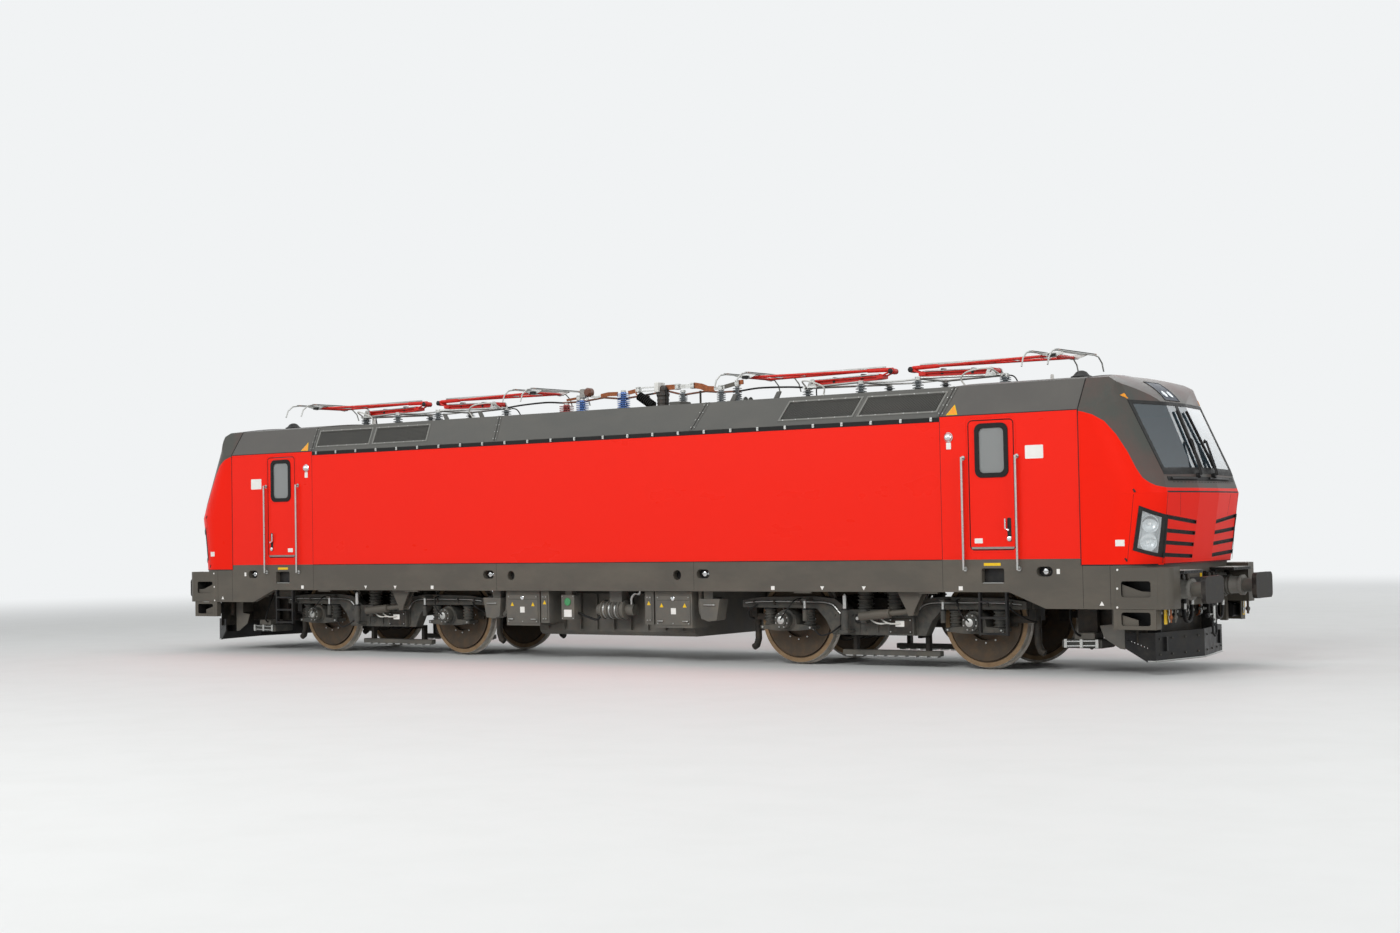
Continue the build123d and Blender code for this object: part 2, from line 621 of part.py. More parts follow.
# Draw hook, screw coupling hung on it, and the step plates beside them
HOOK_Z = 1060
HOSES = ((300, 560, 70), (400, 650, 125))  # y of the cock, y of the holder, distance from the headstock
HOSE_R = 19
HOSE_BEND_Z = 760
COCK_Z = 950
HOLDER_Z = 900


def hanging_hose(near, far, x):
    """Hose in a plane across the body: down from its cock, round a half circle, up to its holder."""
    with BuildLine(front_plane(x)) as route:
        Line((near, COCK_Z), (near, HOSE_BEND_Z))
        lowest = ((near + far) / 2, HOSE_BEND_Z - abs(far - near) / 2)
        ThreePointArc((near, HOSE_BEND_Z), lowest, (far, HOSE_BEND_Z))
        Line((far, HOSE_BEND_Z), (far, HOLDER_Z))
    with BuildSketch(Plane(origin=(x, near, COCK_Z), z_dir=(0, 0, -1))) as section:
        Circle(HOSE_R)
    sweep(sections=section.sketch, path=route.line)


LINK_X = HEADSTOCK_X + 245
with BuildPart() as draw_gear:
    span_box((HEADSTOCK_X, HEADSTOCK_X + 40), (-200, 200), (HOOK_Z - 130, HOOK_Z + 130))
    rod((HEADSTOCK_X + 40, 0, HOOK_Z), (HEADSTOCK_X + 190, 0, HOOK_Z), 55)
    with BuildSketch(side_plane(34)):
        with BuildLine():
            Polyline(
                (HEADSTOCK_X + 170, 1000), (HEADSTOCK_X + 330, 1000), (HEADSTOCK_X + 395, 1070),
                (HEADSTOCK_X + 385, 1150), (HEADSTOCK_X + 330, 1165), (HEADSTOCK_X + 338, 1085),
                (HEADSTOCK_X + 290, 1062), (HEADSTOCK_X + 250, 1110), (HEADSTOCK_X + 170, 1120), close=True,
            )
        make_face()
    extrude(amount=68)
    for y in (-60, 60):
        rod_path(((LINK_X, 0, 1045), (LINK_X, y, 1045), (LINK_X + 10, y, 830), (LINK_X + 10, 0, 830)), 16)
    rod((LINK_X + 10, 0, 850), (LINK_X + 10, 0, 560), 22)
    rod((LINK_X + 10, -75, 640), (LINK_X + 10, 75, 640), 20)
    for y in (-60, 60):
        rod_path(((LINK_X + 10, y, 640), (LINK_X + 20, y, 470), (LINK_X + 20, 0, 430)), 15)
    for s in SIDES:
        for near, far, out in HOSES:
            hanging_hose(s * near, s * far, HEADSTOCK_X + out)
            rod((HEADSTOCK_X, s * near, COCK_Z), (HEADSTOCK_X + out, s * near, COCK_Z), HOSE_R + 5)
            rod((HEADSTOCK_X, s * far, HOLDER_Z), (HEADSTOCK_X + out, s * far, HOLDER_Z), HOSE_R)
            for y, z in ((near, COCK_Z), (far, HOLDER_Z)):
                rod((HEADSTOCK_X + out, s * y, z - 45), (HEADSTOCK_X + out, s * y, z + 26), HOSE_R + 6)
        span_box((HEADSTOCK_X, HEADSTOCK_X + 330), (s * 540, s * 1150), (1270, 1300))
        for y in (610, 1082):
            span_box((HEADSTOCK_X, HEADSTOCK_X + 60), (s * (y - 14), s * (y + 14)), (1180, 1275))
    mirror(about=Plane.YZ)
write(draw_gear, "draw_gear")

# Snow ploughs: a blade across the track, winged back at the sides, hung from two arms
PLOUGH_PLAN = (
    (8990, 0), (8790, 1120), (8450, 1270), (8450, 1246), (8772, 1102), (8966, 0),
)
PLOUGH_Z = (150, 520)
WING_HOLE_R = 9
with BuildPart() as snow_ploughs:
    with BuildSketch(Plane.XY.offset(PLOUGH_Z[0])):
        with BuildLine():
            Polyline(*PLOUGH_PLAN, *[(x, -y) for x, y in reversed(PLOUGH_PLAN[1:-1])], close=True)
        make_face()
    extrude(amount=PLOUGH_Z[1] - PLOUGH_Z[0])
    # Side wings slope down to the front
    with BuildSketch(side_plane(1300)):
        Polygon(
            (8440, PLOUGH_Z[1] + 5), (8440, 330), (8700, PLOUGH_Z[0] - 5), (8440, PLOUGH_Z[0] - 5),
            align=None,
        )
    extrude(amount=2600, mode=Mode.SUBTRACT)
    with BuildSketch(side_plane(1300)):
        with Locations(*[(8480 + 36 * k, 430 - 17 * k) for k in range(7)]):
            Circle(WING_HOLE_R)
    extrude(amount=2600, mode=Mode.SUBTRACT)
    for s in SIDES:
        span_box((8600, 8780), (s * 880, s * 920), (280, LOWER_FLOOR_Z[0]))
        span_box((8600, 8860), (s * 880, s * 920), (280, 460))
    mirror(about=Plane.YZ)
write(snow_ploughs, "snow_ploughs")

# Transformer tank with stiffening ribs, under the middle of the body
TANK_X = 1500
TANK_Y = 950
TANK_Z = (345, 1040)
with BuildPart() as transformer:
    span_box((-TANK_X, TANK_X), (-TANK_Y, TANK_Y), TANK_Z)
    chamfer(transformer.edges().filter_by(Axis.X), 60)
    span_box((-1200, 1200), (-850, 850), (TANK_Z[1] - 5, 1095))
    for x in range(-1300, 1301, 325):
        span_box((x - 12, x + 12), (-TANK_Y - 45, TANK_Y + 45), (TANK_Z[0] + 90, TANK_Z[1] - 70))
write(transformer, "transformer")

# Cases, sand boxes and the compressor that hang beside the transformer
CASES = ((1115, 1785, 500), (925, 1085, 545))  # x0, x1, underside z
CASE_Y = (1010, 1405)
CASE_TOP = 1030
SAND_BOX = ((1915, 925), (2275, 925), (2215, 620), (2070, 600), (1940, 640))
COMPRESSOR_Y = 1215
COMPRESSOR_Z = 750
with BuildPart() as underfloor_cabinets:
    for s in ENDS:
        for side in SIDES:
            y = (side * CASE_Y[0], side * CASE_Y[1])
            for x0, x1, low in CASES:
                span_box((s * x0, s * x1), y, (low, CASE_TOP))
                hanger, lid = (s * (x0 + 45), s * (x1 - 45)), (s * (x0 + 30), s * (x1 - 30))
                span_box(hanger, (side * 1390, side * 1250), (CASE_TOP - 5, LOWER_FLOOR_Z[0]))
                span_box(lid, (side * CASE_Y[1], side * (CASE_Y[1] + 12)), (low + 40, CASE_TOP - 60))
            side_slab([(s * x, z) for x, z in SAND_BOX], sorted((side * 1180, side * 1400)))
            span_box((s * 1960, s * 2120), (side * 1250, side * 1350), (920, LOWER_FLOOR_Z[0]))
    for s in ENDS:
        y = s * COMPRESSOR_Y
        rod((s * 0, y, COMPRESSOR_Z), (s * -460, y, COMPRESSOR_Z), 132)
        rod((s * 90, y, COMPRESSOR_Z), (s * -600, y, COMPRESSOR_Z), 84)
        for x in (-30, -140, -250, -360, -440):
            rod((s * (x - 12), y, COMPRESSOR_Z), (s * (x + 12), y, COMPRESSOR_Z), 146)
        span_box((s * -400, s * -170), (s * 1120, s * 1290), (840, LOWER_FLOOR_Z[0]))
        span_box((s * 440, s * 690), (s * 1230, s * 1390), (600, 976))
        span_box((s * 500, s * 630), (s * 1260, s * 1370), (970, LOWER_FLOOR_Z[0]))
write(underfloor_cabinets, "underfloor_cabinets")

# Heavy equipment in the machine room, as one block at its real place
with BuildPart() as converter_block:
    for s in SIDES:
        span_box((-5600, 5600), (s * 420, s * 1150), (SILL_TOP + 2, 3100))
    span_box((-5600, 5600), (-430, 430), (SILL_TOP + 2, 1600))
write(converter_block, "converter_block")

# Roof insulators: a core with a stack of sheds on each
FOOT_CLEAR = 3
BASE_LOW = 3976
BASE_FEET = ((160, 0), (-1000, -400), (-1000, 400))  # along the head's direction from the pivot, across
BUS_INSULATORS = (  # x, y, top z, shed radius, sheds
    (-1670, 0, 3985, 78, 5),
    (-1340, 0, 3985, 78, 5),
    (-500, 0, 3985, 88, 5),
    (670, 0, 3990, 58, 5),
    (1390, 0, 3990, 58, 5),
    (1690, 0, 3990, 58, 5),
)
CORE_R = 34


def roof_top(x):
    """Height of the roof's crown at a place along it."""
    return CAB_CROWN_Z if abs(x) > WALL_JOINT_X + 100 else ROOF_CROWN_Z


stacks = list(BUS_INSULATORS)
for number, pivot, way in PANTOGRAPHS:
    stacks += [(pivot + way * dx, dy, BASE_LOW, 58, 5) for dx, dy in BASE_FEET]
stack_parts = []
for x, y, top, radius, sheds in stacks:
    foot = roof_top(x) + FOOT_CLEAR
    step = (top - foot) / (sheds + 1)
    profile = [(0, foot), (CORE_R + 16, foot), (CORE_R + 16, foot + 12), (CORE_R, foot + 12)]
    for k in range(1, sheds + 1):
        z = foot + k * step
        profile += [(CORE_R, z - 7), (radius, z - 7), (radius, z - 3), (CORE_R, z + 8)]
    profile += [(CORE_R, top), (0, top)]
    with BuildPart() as stack:
        with BuildSketch(Plane(origin=(x, y, 0), x_dir=(1, 0, 0), z_dir=(0, -1, 0))):
            Polygon(*profile, align=None)
        revolve(axis=Axis((x, y, 0), (0, 0, 1)))
    stack_parts.append(stack.part)
with BuildPart() as roof_insulators:
    add(stack_parts)
write(roof_insulators, "roof_insulators")

# Main breaker, surge arrester, and the busbars that stand on the insulators
BUS_Z = 4020
BUS_LINE = (
    (-1740, 0, BUS_Z), (-1340, 0, BUS_Z), (-900, 0, BUS_Z + 40), (-500, 0, BUS_Z), (210, 0, BUS_Z + 60),
)
BUS_LINE_2 = (
    (350, 0, BUS_Z + 80), (670, 0, BUS_Z), (1100, 0, BUS_Z + 30), (1390, 0, BUS_Z), (1760, 0, BUS_Z),
)
BREAKER_PROFILE = (
    (0, 3832), (120, 3832), (120, 3860), (92, 3872), (92, 4020), (104, 4030), (104, 4060), (92, 4070),
    (92, 4150), (66, 4180), (0, 4190),
)
with BuildPart() as roof_busbars:
    rod_path(BUS_LINE, 15)
    rod_path(BUS_LINE_2, 15)
    for x, y, top, radius, sheds in BUS_INSULATORS:
        rod((x, y, top), (x, y, BUS_Z), 26)
    with BuildSketch(Plane(origin=(280, 0, 0), x_dir=(1, 0, 0), z_dir=(0, -1, 0))):
        Polygon(*BREAKER_PROFILE, align=None)
    revolve(axis=Axis((280, 0, 0), (0, 0, 1)))
    rod((20, 0, 3850), (-60, 0, BUS_Z + 30), 30)
    for k in range(6):
        t = 0.12 + 0.14 * k
        start = (20 - 80 * t, 0, 3850 + (BUS_Z - 3820) * t)
        end = (20 - 80 * (t + 0.045), 0, 3850 + (BUS_Z - 3820) * (t + 0.045))
        rod(start, end, 58)
write(roof_busbars, "roof_busbars")

# Bogie frames: two fish-bellied side beams, end beams and a transom with the pin's hole
BEAM_Y = (955, 1125)
BEAM_TOP_LINE = ((-2260, 900), (-1950, 945), (-1000, 960), (-700, 930), (-480, 780))
BEAM_LOW_LINE = ((-740, 430), (-850, 640), (-1000, 790), (-2260, 800))
END_BEAM_X = (2200, 2290)
TRANSOM_Z = (590, 750)
AXLES = (-AXLE_SPREAD, AXLE_SPREAD)
SPRING_R = 115
SPRING_Z = (781, BOLSTER_BOTTOM - 8)
BOX_Z = WHEEL_R
PRIMARY_X = 330
SPRING_Y = 1040
PRIMARY_Z = (546, 786)
PRIMARY_R = 86
MOTOR_X = 950
MOTOR_R = 310
SAND_PIPE = ((2240, 760, 700), (2240, 760, 330), (2275, 755, 235), (2330, 750, 205))


def coil(height, radius, wire, turns):
    """Profile of a coil spring, a core with one ring for each turn, for the sketch being built."""
    step = height / turns
    points = [(0, 0), (radius - wire, 0)]
    for k in range(turns):
        low, high = (k + 0.2) * step, (k + 0.8) * step
        points += [(radius - wire, low), (radius, low + wire * 0.4)]
        points += [(radius, high - wire * 0.4), (radius - wire, high)]
    Polygon(*points, (radius - wire, height), (0, height), align=None)


with BuildPart() as bogie_frame:
    outline = list(BEAM_TOP_LINE) + [(-x, z) for x, z in reversed(BEAM_TOP_LINE)]
    outline += [(-x, z) for x, z in reversed(BEAM_LOW_LINE)] + list(BEAM_LOW_LINE)
    side_slab(outline, BEAM_Y)
    # Stiffening plates, and brackets for the dampers
    for x in (-620, -300, 0, 300, 620):
        span_box((x - 10, x + 10), (BEAM_Y[1], BEAM_Y[1] + 14), (470, 740))
    span_box((370, 510), (BEAM_Y[1] - 5, 1330), (470, 500))
    span_box((125, 215), (BEAM_Y[1] - 5, 1232), (600, 780))
    span_box((-600, -200), (BEAM_Y[1] - 5, 1200), (440, 690))
    for x in (-1100, 1100):
        span_box((x - 40, x + 40), (BEAM_Y[1] - 5, 1310), (905, 930))
    half = Rot(0, 0, 180) * bogie_frame.part
    add(half)
    for s in ENDS:
        span_box((s * END_BEAM_X[0], s * END_BEAM_X[1]), (-BEAM_Y[0] - 5, BEAM_Y[0] + 5), (800, 895))
    span_box((-240, 240), (-BEAM_Y[0] - 5, BEAM_Y[0] + 5), TRANSOM_Z)
    with Locations((0, 0, 670)):
        Cylinder(PIVOT_R + 60, 200)
        Cylinder(PIVOT_R + RUNNING_GAP, 400, mode=Mode.SUBTRACT)

BOX_ARM = (
    (-440, 500), (-440, 545), (-180, 565), (-150, 700), (150, 700), (180, 565), (440, 545), (440, 500),
    (150, 470), (-150, 470),
)
with BuildPart() as axle_box:
    side_slab(BOX_ARM, (940, 1150))
    rod((0, 930, BOX_Z), (0, 1160, BOX_Z), 150)
    rod((0, 1155, BOX_Z), (0, 1270, BOX_Z), 118)
    rod((0, 1265, BOX_Z), (0, 1292, BOX_Z), 84)
    rod((0, 929, BOX_Z), (0, JOURNAL_END + 3, BOX_Z), JOURNAL_R + RUNNING_GAP, mode=Mode.SUBTRACT)
with BuildPart() as primary_spring:
    with BuildSketch(Plane.XZ):
        coil(PRIMARY_Z[1] - PRIMARY_Z[0], PRIMARY_R, 16, 5)
    revolve(axis=Axis.Z)
with BuildPart() as bolster_spring:
    with BuildSketch(Plane.XZ):
        coil(SPRING_Z[1] - SPRING_Z[0], SPRING_R, 20, 7)
    revolve(axis=Axis.Z)
with BuildPart() as suspension:
    with Locations(*[(x, 0, 0) for x in AXLES]):
        add(axle_box.part)
    with Locations(*[(x + dx, SPRING_Y, PRIMARY_Z[0]) for x in AXLES for dx in (-PRIMARY_X, PRIMARY_X)]):
        add(primary_spring.part)
    with Locations((-240, SPRING_Y, SPRING_Z[0]), (240, SPRING_Y, SPRING_Z[0])):
        add(bolster_spring.part)
    damper((440, 1275, 501), (440, 1275, 985), 52)
    for x in (-1100, 1100):
        damper((x, 1275, 620), (x, 1275, 904), 34)
    add(Rot(0, 0, 180) * suspension.part)

# Motors on the transom, brake callipers and sand pipes
with BuildPart() as bogie_drive:
    rod((MOTOR_X, -520, WHEEL_R), (MOTOR_X, 520, WHEEL_R), MOTOR_R)
    rod((MOTOR_X, 515, WHEEL_R), (MOTOR_X, 600, WHEEL_R), 240)
    for y in (-420, -140, 140, 420):
        rod((MOTOR_X, y - 15, WHEEL_R), (MOTOR_X, y + 15, WHEEL_R), MOTOR_R + 16)
    span_box((250, MOTOR_X), (-300, 300), (760, 900))
    for side in SIDES:
        # Calliper arms along both faces of the wheel, hung under the end beam
        for near, far, pad_near, pad_far in ((850, 880, 834, 850), (625, 655, 655, 661)):
            span_box((1880, 2230), (side * near, side * far), (610, 700))
            span_box((1880, 1990), (side * pad_near, side * pad_far), (560, 740))
        span_box((2175, 2280), (side * 620, side * 890), (640, 799))
        rod_path([(x, side * y, z) for x, y, z in SAND_PIPE], 48)
    add(Rot(0, 0, 180) * bogie_drive.part)

for number, end in ((1, -1), (2, 1)):
    for piece, name in (
        (bogie_frame, "bogie_frame"), (suspension, "suspension"), (bogie_drive, "bogie_drive")
    ):
        with BuildPart() as placed:
            add(Pos(end * BOGIE_X, 0, 0) * piece.part)
        write(placed, f"{name}_{number}")

# Wheelsets: axle, wheels with flanges and the brake discs on their faces, turned in one piece
WHEEL_FACE = WHEEL_BACK + WHEEL_WIDTH
DISC_R = (260, 535)
DISC_STANDS = 12
with BuildPart() as wheelset:
    with BuildSketch(Plane.XZ):
        with BuildLine():
            Polyline(
                (0, 0), (0, JOURNAL_END), (JOURNAL_R, JOURNAL_END), (JOURNAL_R, 870), (100, 870),
                (120, WHEEL_FACE + 10), (150, WHEEL_FACE + 10), (170, WHEEL_FACE - 50),
                (DISC_R[0], WHEEL_FACE - 50),
                (DISC_R[0], WHEEL_FACE + DISC_STANDS), (DISC_R[1], WHEEL_FACE + DISC_STANDS),
                (DISC_R[1], WHEEL_FACE - 20), (555, WHEEL_FACE - 20), (560, WHEEL_FACE),
                (WHEEL_R - 6, WHEEL_FACE), (WHEEL_R, WHEEL_FACE - 25),
                (WHEEL_R, WHEEL_BACK + 40), (FLANGE_R - 6, WHEEL_BACK + 24), (FLANGE_R, WHEEL_BACK + 14),
                (FLANGE_R - 12, WHEEL_BACK), (560, WHEEL_BACK), (555, WHEEL_BACK + 15),
                (DISC_R[1], WHEEL_BACK + 15), (DISC_R[1], WHEEL_BACK - DISC_STANDS),
                (DISC_R[0], WHEEL_BACK - DISC_STANDS), (DISC_R[0], WHEEL_BACK + 40), (170, WHEEL_BACK + 40),
                (140, WHEEL_BACK - 30), (AXLE_R, WHEEL_BACK - 30), (AXLE_R, 0), close=True,
            )
        make_face()
    revolve(axis=Axis.Z)
    mirror(about=Plane.XY)
for number, x in enumerate([end * BOGIE_X + dx for end in ENDS for dx in AXLES], 1):
    with BuildPart() as placed:
        add(Pos(x, 0, WHEEL_R) * Rot(90, 0, 0) * wheelset.part)
    write(placed, f"wheelset_{number}")

# Pantographs: base frame, lower arm, upper arm and collector head
LUG_Y = (115, 145)
PIVOT_SHAFT_R = 22
KNEE_SHAFT_R = 18
BASE_BAR_Z = 3997
KNEE_CHEEK_Y = (50, 78)
ARM_HALF = 46
STRIP_X = 190
STRIP_HALF = 600
STRIP_Z = HEAD_TOP - 24
HORN = ((580, STRIP_Z + 8), (720, STRIP_Z - 10), (830, STRIP_Z - 90), (880, STRIP_Z - 205))
ROCKER_Y = (320, 340)
base_frames = []
for number, pivot, way in PANTOGRAPHS:
    feet = [(pivot + way * dx, dy) for dx, dy in BASE_FEET]
    with BuildPart() as base_frame:
        for x, y in feet[1:]:
            rod((feet[0][0], y * 0.12, BASE_BAR_Z), (x, y, BASE_BAR_Z), 17)
        for x, half in ((feet[1][0], 440), (feet[0][0], 110)):
            rod((x, -half, BASE_BAR_Z), (x, half, BASE_BAR_Z), 20)
        for side in SIDES:
            near, far = sorted((side * LUG_Y[0], side * LUG_Y[1]))
            side_slab(
                ((pivot - 85, 3984), (pivot - 48, 4070), (pivot + 48, 4070), (pivot + 85, 3984)), (near, far)
            )
            rod((pivot, near, PIVOT_Z), (pivot, far, PIVOT_Z), 48)
        span_box((pivot - 85, pivot + 85), (-LUG_Y[1], LUG_Y[1]), (3982, 3998))
        span_box((pivot, pivot + way * 150), (-30, 30), (3982, 3998))
        for x, y in feet:
            rod((x, y, BASE_LOW), (x, y, BASE_BAR_Z + 19), 42)
        # Air bellows that raises the arm
        rod((pivot - way * 100, 0, 3996), (pivot - way * 100, 0, 4020), 50)
        rod((pivot, -200, PIVOT_Z), (pivot, 200, PIVOT_Z), PIVOT_SHAFT_R + RUNNING_GAP, mode=Mode.SUBTRACT)
    base_frames.append(base_frame.part)
with BuildPart() as pantograph_frames:
    add(base_frames)
write(pantograph_frames, "pantograph_frames")

for number, pivot, way in PANTOGRAPHS:
    knee = pivot - way * LOWER_ARM
    apex = knee + way * UPPER_ARM
    with BuildPart() as lower_arm:
        rod((pivot, -LUG_Y[1] + 2, PIVOT_Z), (pivot, LUG_Y[1] - 2, PIVOT_Z), PIVOT_SHAFT_R)
        rod((pivot, -LUG_Y[0] + 6, PIVOT_Z), (pivot, LUG_Y[0] - 6, PIVOT_Z), 42)
        side_slab(
            (
                (pivot, PIVOT_Z - 36), (pivot, PIVOT_Z + 42), (knee + way * 220, KNEE_Z - 22),
                (knee + way * 130, KNEE_Z - 44), (knee + way * 130, KNEE_Z - 104),
                (knee + way * 230, KNEE_Z - 112),
            ),
            (-ARM_HALF, ARM_HALF),
        )
        span_box((knee + way * 130, knee + way * 240), (-76, 76), (KNEE_Z - 98, KNEE_Z - 48))
        for side in SIDES:
            mid = side * (KNEE_CHEEK_Y[0] + KNEE_CHEEK_Y[1]) / 2
            rod((knee + way * 170, mid, KNEE_Z - 66), (knee, mid, KNEE_Z), 13)
            rod((knee, side * KNEE_CHEEK_Y[0], KNEE_Z), (knee, side * KNEE_CHEEK_Y[1], KNEE_Z), 38)
            # Guide rods beside the arm
            rod((pivot - way * 30, side * 90, PIVOT_Z + 20), (knee + way * 190, side * 70, KNEE_Z - 66), 8)
        rod((knee, -100, KNEE_Z), (knee, 100, KNEE_Z), KNEE_SHAFT_R + RUNNING_GAP, mode=Mode.SUBTRACT)
    write(lower_arm, f"lower_arm_{number}")

    with BuildPart() as upper_arm:
        rod((knee, -84, KNEE_Z), (knee, 84, KNEE_Z), KNEE_SHAFT_R)
        rod((knee, -KNEE_CHEEK_Y[0] + 6, KNEE_Z), (knee, KNEE_CHEEK_Y[0] - 6, KNEE_Z), 44)
        rod((knee, 0, KNEE_Z + 24), (knee + way * 420, 0, KNEE_Z + 32), 31)
        for side in SIDES:
            rod((knee + way * 380, side * 12, KNEE_Z + 31), (apex, side * 290, APEX_Z), 19)
        rod((knee + way * 1250, -150, KNEE_Z + 33), (knee + way * 1250, 150, KNEE_Z + 33), 12)
        rod((apex, -ROCKER_Y[0] + 5, APEX_Z), (apex, ROCKER_Y[0] - 5, APEX_Z), 20)
        rod((apex, -ROCKER_Y[1] + 4, APEX_Z), (apex, ROCKER_Y[1] - 4, APEX_Z), 14)
    write(upper_arm, f"upper_arm_{number}")

    with BuildPart() as collector_head:
        for s in ENDS:
            x = apex + s * STRIP_X
            span_box((x - 28, x + 28), (-STRIP_HALF, STRIP_HALF), (STRIP_Z, HEAD_TOP))
            for side in SIDES:
                rod_path([(x, side * y, z) for y, z in HORN], 11)
        for side in SIDES:
            side_slab(
                (
                    (apex - STRIP_X - 20, STRIP_Z - 6), (apex - STRIP_X - 20, STRIP_Z + 4),
                    (apex + STRIP_X + 20, STRIP_Z + 4), (apex + STRIP_X + 20, STRIP_Z - 6),
                    (apex + 34, APEX_Z - 26), (apex - 34, APEX_Z - 26),
                ),
                sorted((side * ROCKER_Y[0], side * ROCKER_Y[1])),
            )
            rod((apex, side * ROCKER_Y[0], APEX_Z), (apex, side * ROCKER_Y[1], APEX_Z), 32)
        for s in ENDS:
            rod((apex + s * 120, -ROCKER_Y[0], APEX_Z + 36), (apex + s * 120, ROCKER_Y[0], APEX_Z + 36), 6)
        rod((apex, -400, APEX_Z), (apex, 400, APEX_Z), 14 + RUNNING_GAP, mode=Mode.SUBTRACT)
    write(collector_head, f"collector_head_{number}")
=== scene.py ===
import logging
import math
from collections.abc import Callable
from dataclasses import dataclass, field
from enum import Enum

import bpy
import numpy as np
from mathutils import Matrix, Vector


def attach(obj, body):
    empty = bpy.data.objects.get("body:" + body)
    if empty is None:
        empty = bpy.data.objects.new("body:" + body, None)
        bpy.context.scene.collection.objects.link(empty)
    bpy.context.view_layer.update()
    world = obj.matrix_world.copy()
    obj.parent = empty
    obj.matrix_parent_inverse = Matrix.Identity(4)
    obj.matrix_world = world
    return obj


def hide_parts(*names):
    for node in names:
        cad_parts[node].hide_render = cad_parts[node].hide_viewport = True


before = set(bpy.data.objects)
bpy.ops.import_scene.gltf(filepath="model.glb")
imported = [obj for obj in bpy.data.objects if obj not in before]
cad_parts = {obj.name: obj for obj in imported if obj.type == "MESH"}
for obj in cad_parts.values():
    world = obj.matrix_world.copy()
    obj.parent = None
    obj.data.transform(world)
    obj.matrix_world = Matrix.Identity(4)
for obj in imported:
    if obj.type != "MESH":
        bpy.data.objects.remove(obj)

# Electric locomotive. Metres; +X along the body to cab 2, +Y across, +Z up, as in the solids.
# Heights below are above the rail; a shape is lifted by RAIL when its piece is made.

LOG = logging.getLogger("locomotive")
RAIL = 0.028
ENDS = SIDES = (-1.0, 1.0)
WALL_Y = -1.506  # side wall on the near side
PIN_X, AXLE_DX, AXLE_Z = 4.75, 1.5, 0.625  # bogie pin, axle beside its pin, axle above the rail
SEAM_X = 7.982  # seam between cab and nose
AHEAD, NEAR, UP = (1, 0, 0), (0, -1, 0), (0, 0, 1)
CHEEK_OUT = (0, -0.830, 0.557)  # normal of the roof's sloping cheek
PHOTO_WIDTH = 1400
BACKDROP = "#F1F3F4"

Tree, Socket = bpy.types.NodeTree, bpy.types.NodeSocket
Surface = Callable[..., np.ndarray]  # takes two drawn coordinates and a distance out, gives points


def linear(colour: str) -> tuple[float, float, float, float]:
    """Turns a hex colour as a screen shows it into the linear values of a shader.

    Args:
        colour: six-digit hex colour with its hash sign.

    Returns:
        Red, green, blue and alpha: each channel to the power of 2.4 above a short straight toe.
    """
    value = np.array([int(colour[k:k + 2], 16) for k in (1, 3, 5)]) / 255
    toe, curve = value / 12.92, ((value + 0.055) / 1.055) ** 2.4
    return (*(float(v) for v in np.where(value <= 0.04045, toe, curve)), 1.0)


def add_node(tree: Tree, kind: str, inputs: dict, out: int | str = 0, **settings: object) -> Socket | None:
    """Adds one node to a material, with its settings and links.

    Args:
        tree: node tree of the material.
        kind: node type without its ShaderNode prefix.
        inputs: value or output socket for each input, by name or number.
        out: name or number of the output that is wanted.
        settings: plain properties of the node.

    Returns:
        That output, or nothing from a node that ends the tree.
    """
    node = tree.nodes.new("ShaderNode" + kind)
    for key, value in settings.items():
        setattr(node, key, value)
    for key, value in inputs.items():
        if isinstance(value, Socket):
            tree.links.new(value, node.inputs[key])
        else:
            node.inputs[key].default_value = value
    return node.outputs[out] if node.outputs else None


def band(tree: Tree, value: Socket, low: float, high: float, soft: float) -> Socket:
    """Gives 1 where a value lies between two limits and 0 elsewhere: a ramp up times a ramp down.

    Args:
        tree: node tree of the material.
        value: the value, in metres.
        low: lower limit.
        high: upper limit.
        soft: half the width of each ramp.

    Returns:
        The output socket.
    """
    rise = add_node(tree, "MapRange", {0: value, 1: low - soft, 2: low + soft})
    fall = add_node(tree, "MapRange", {0: value, 1: high - soft, 2: high + soft, 3: 1.0, 4: 0.0})
    return add_node(tree, "Math", {0: rise, 1: fall}, operation="MULTIPLY")


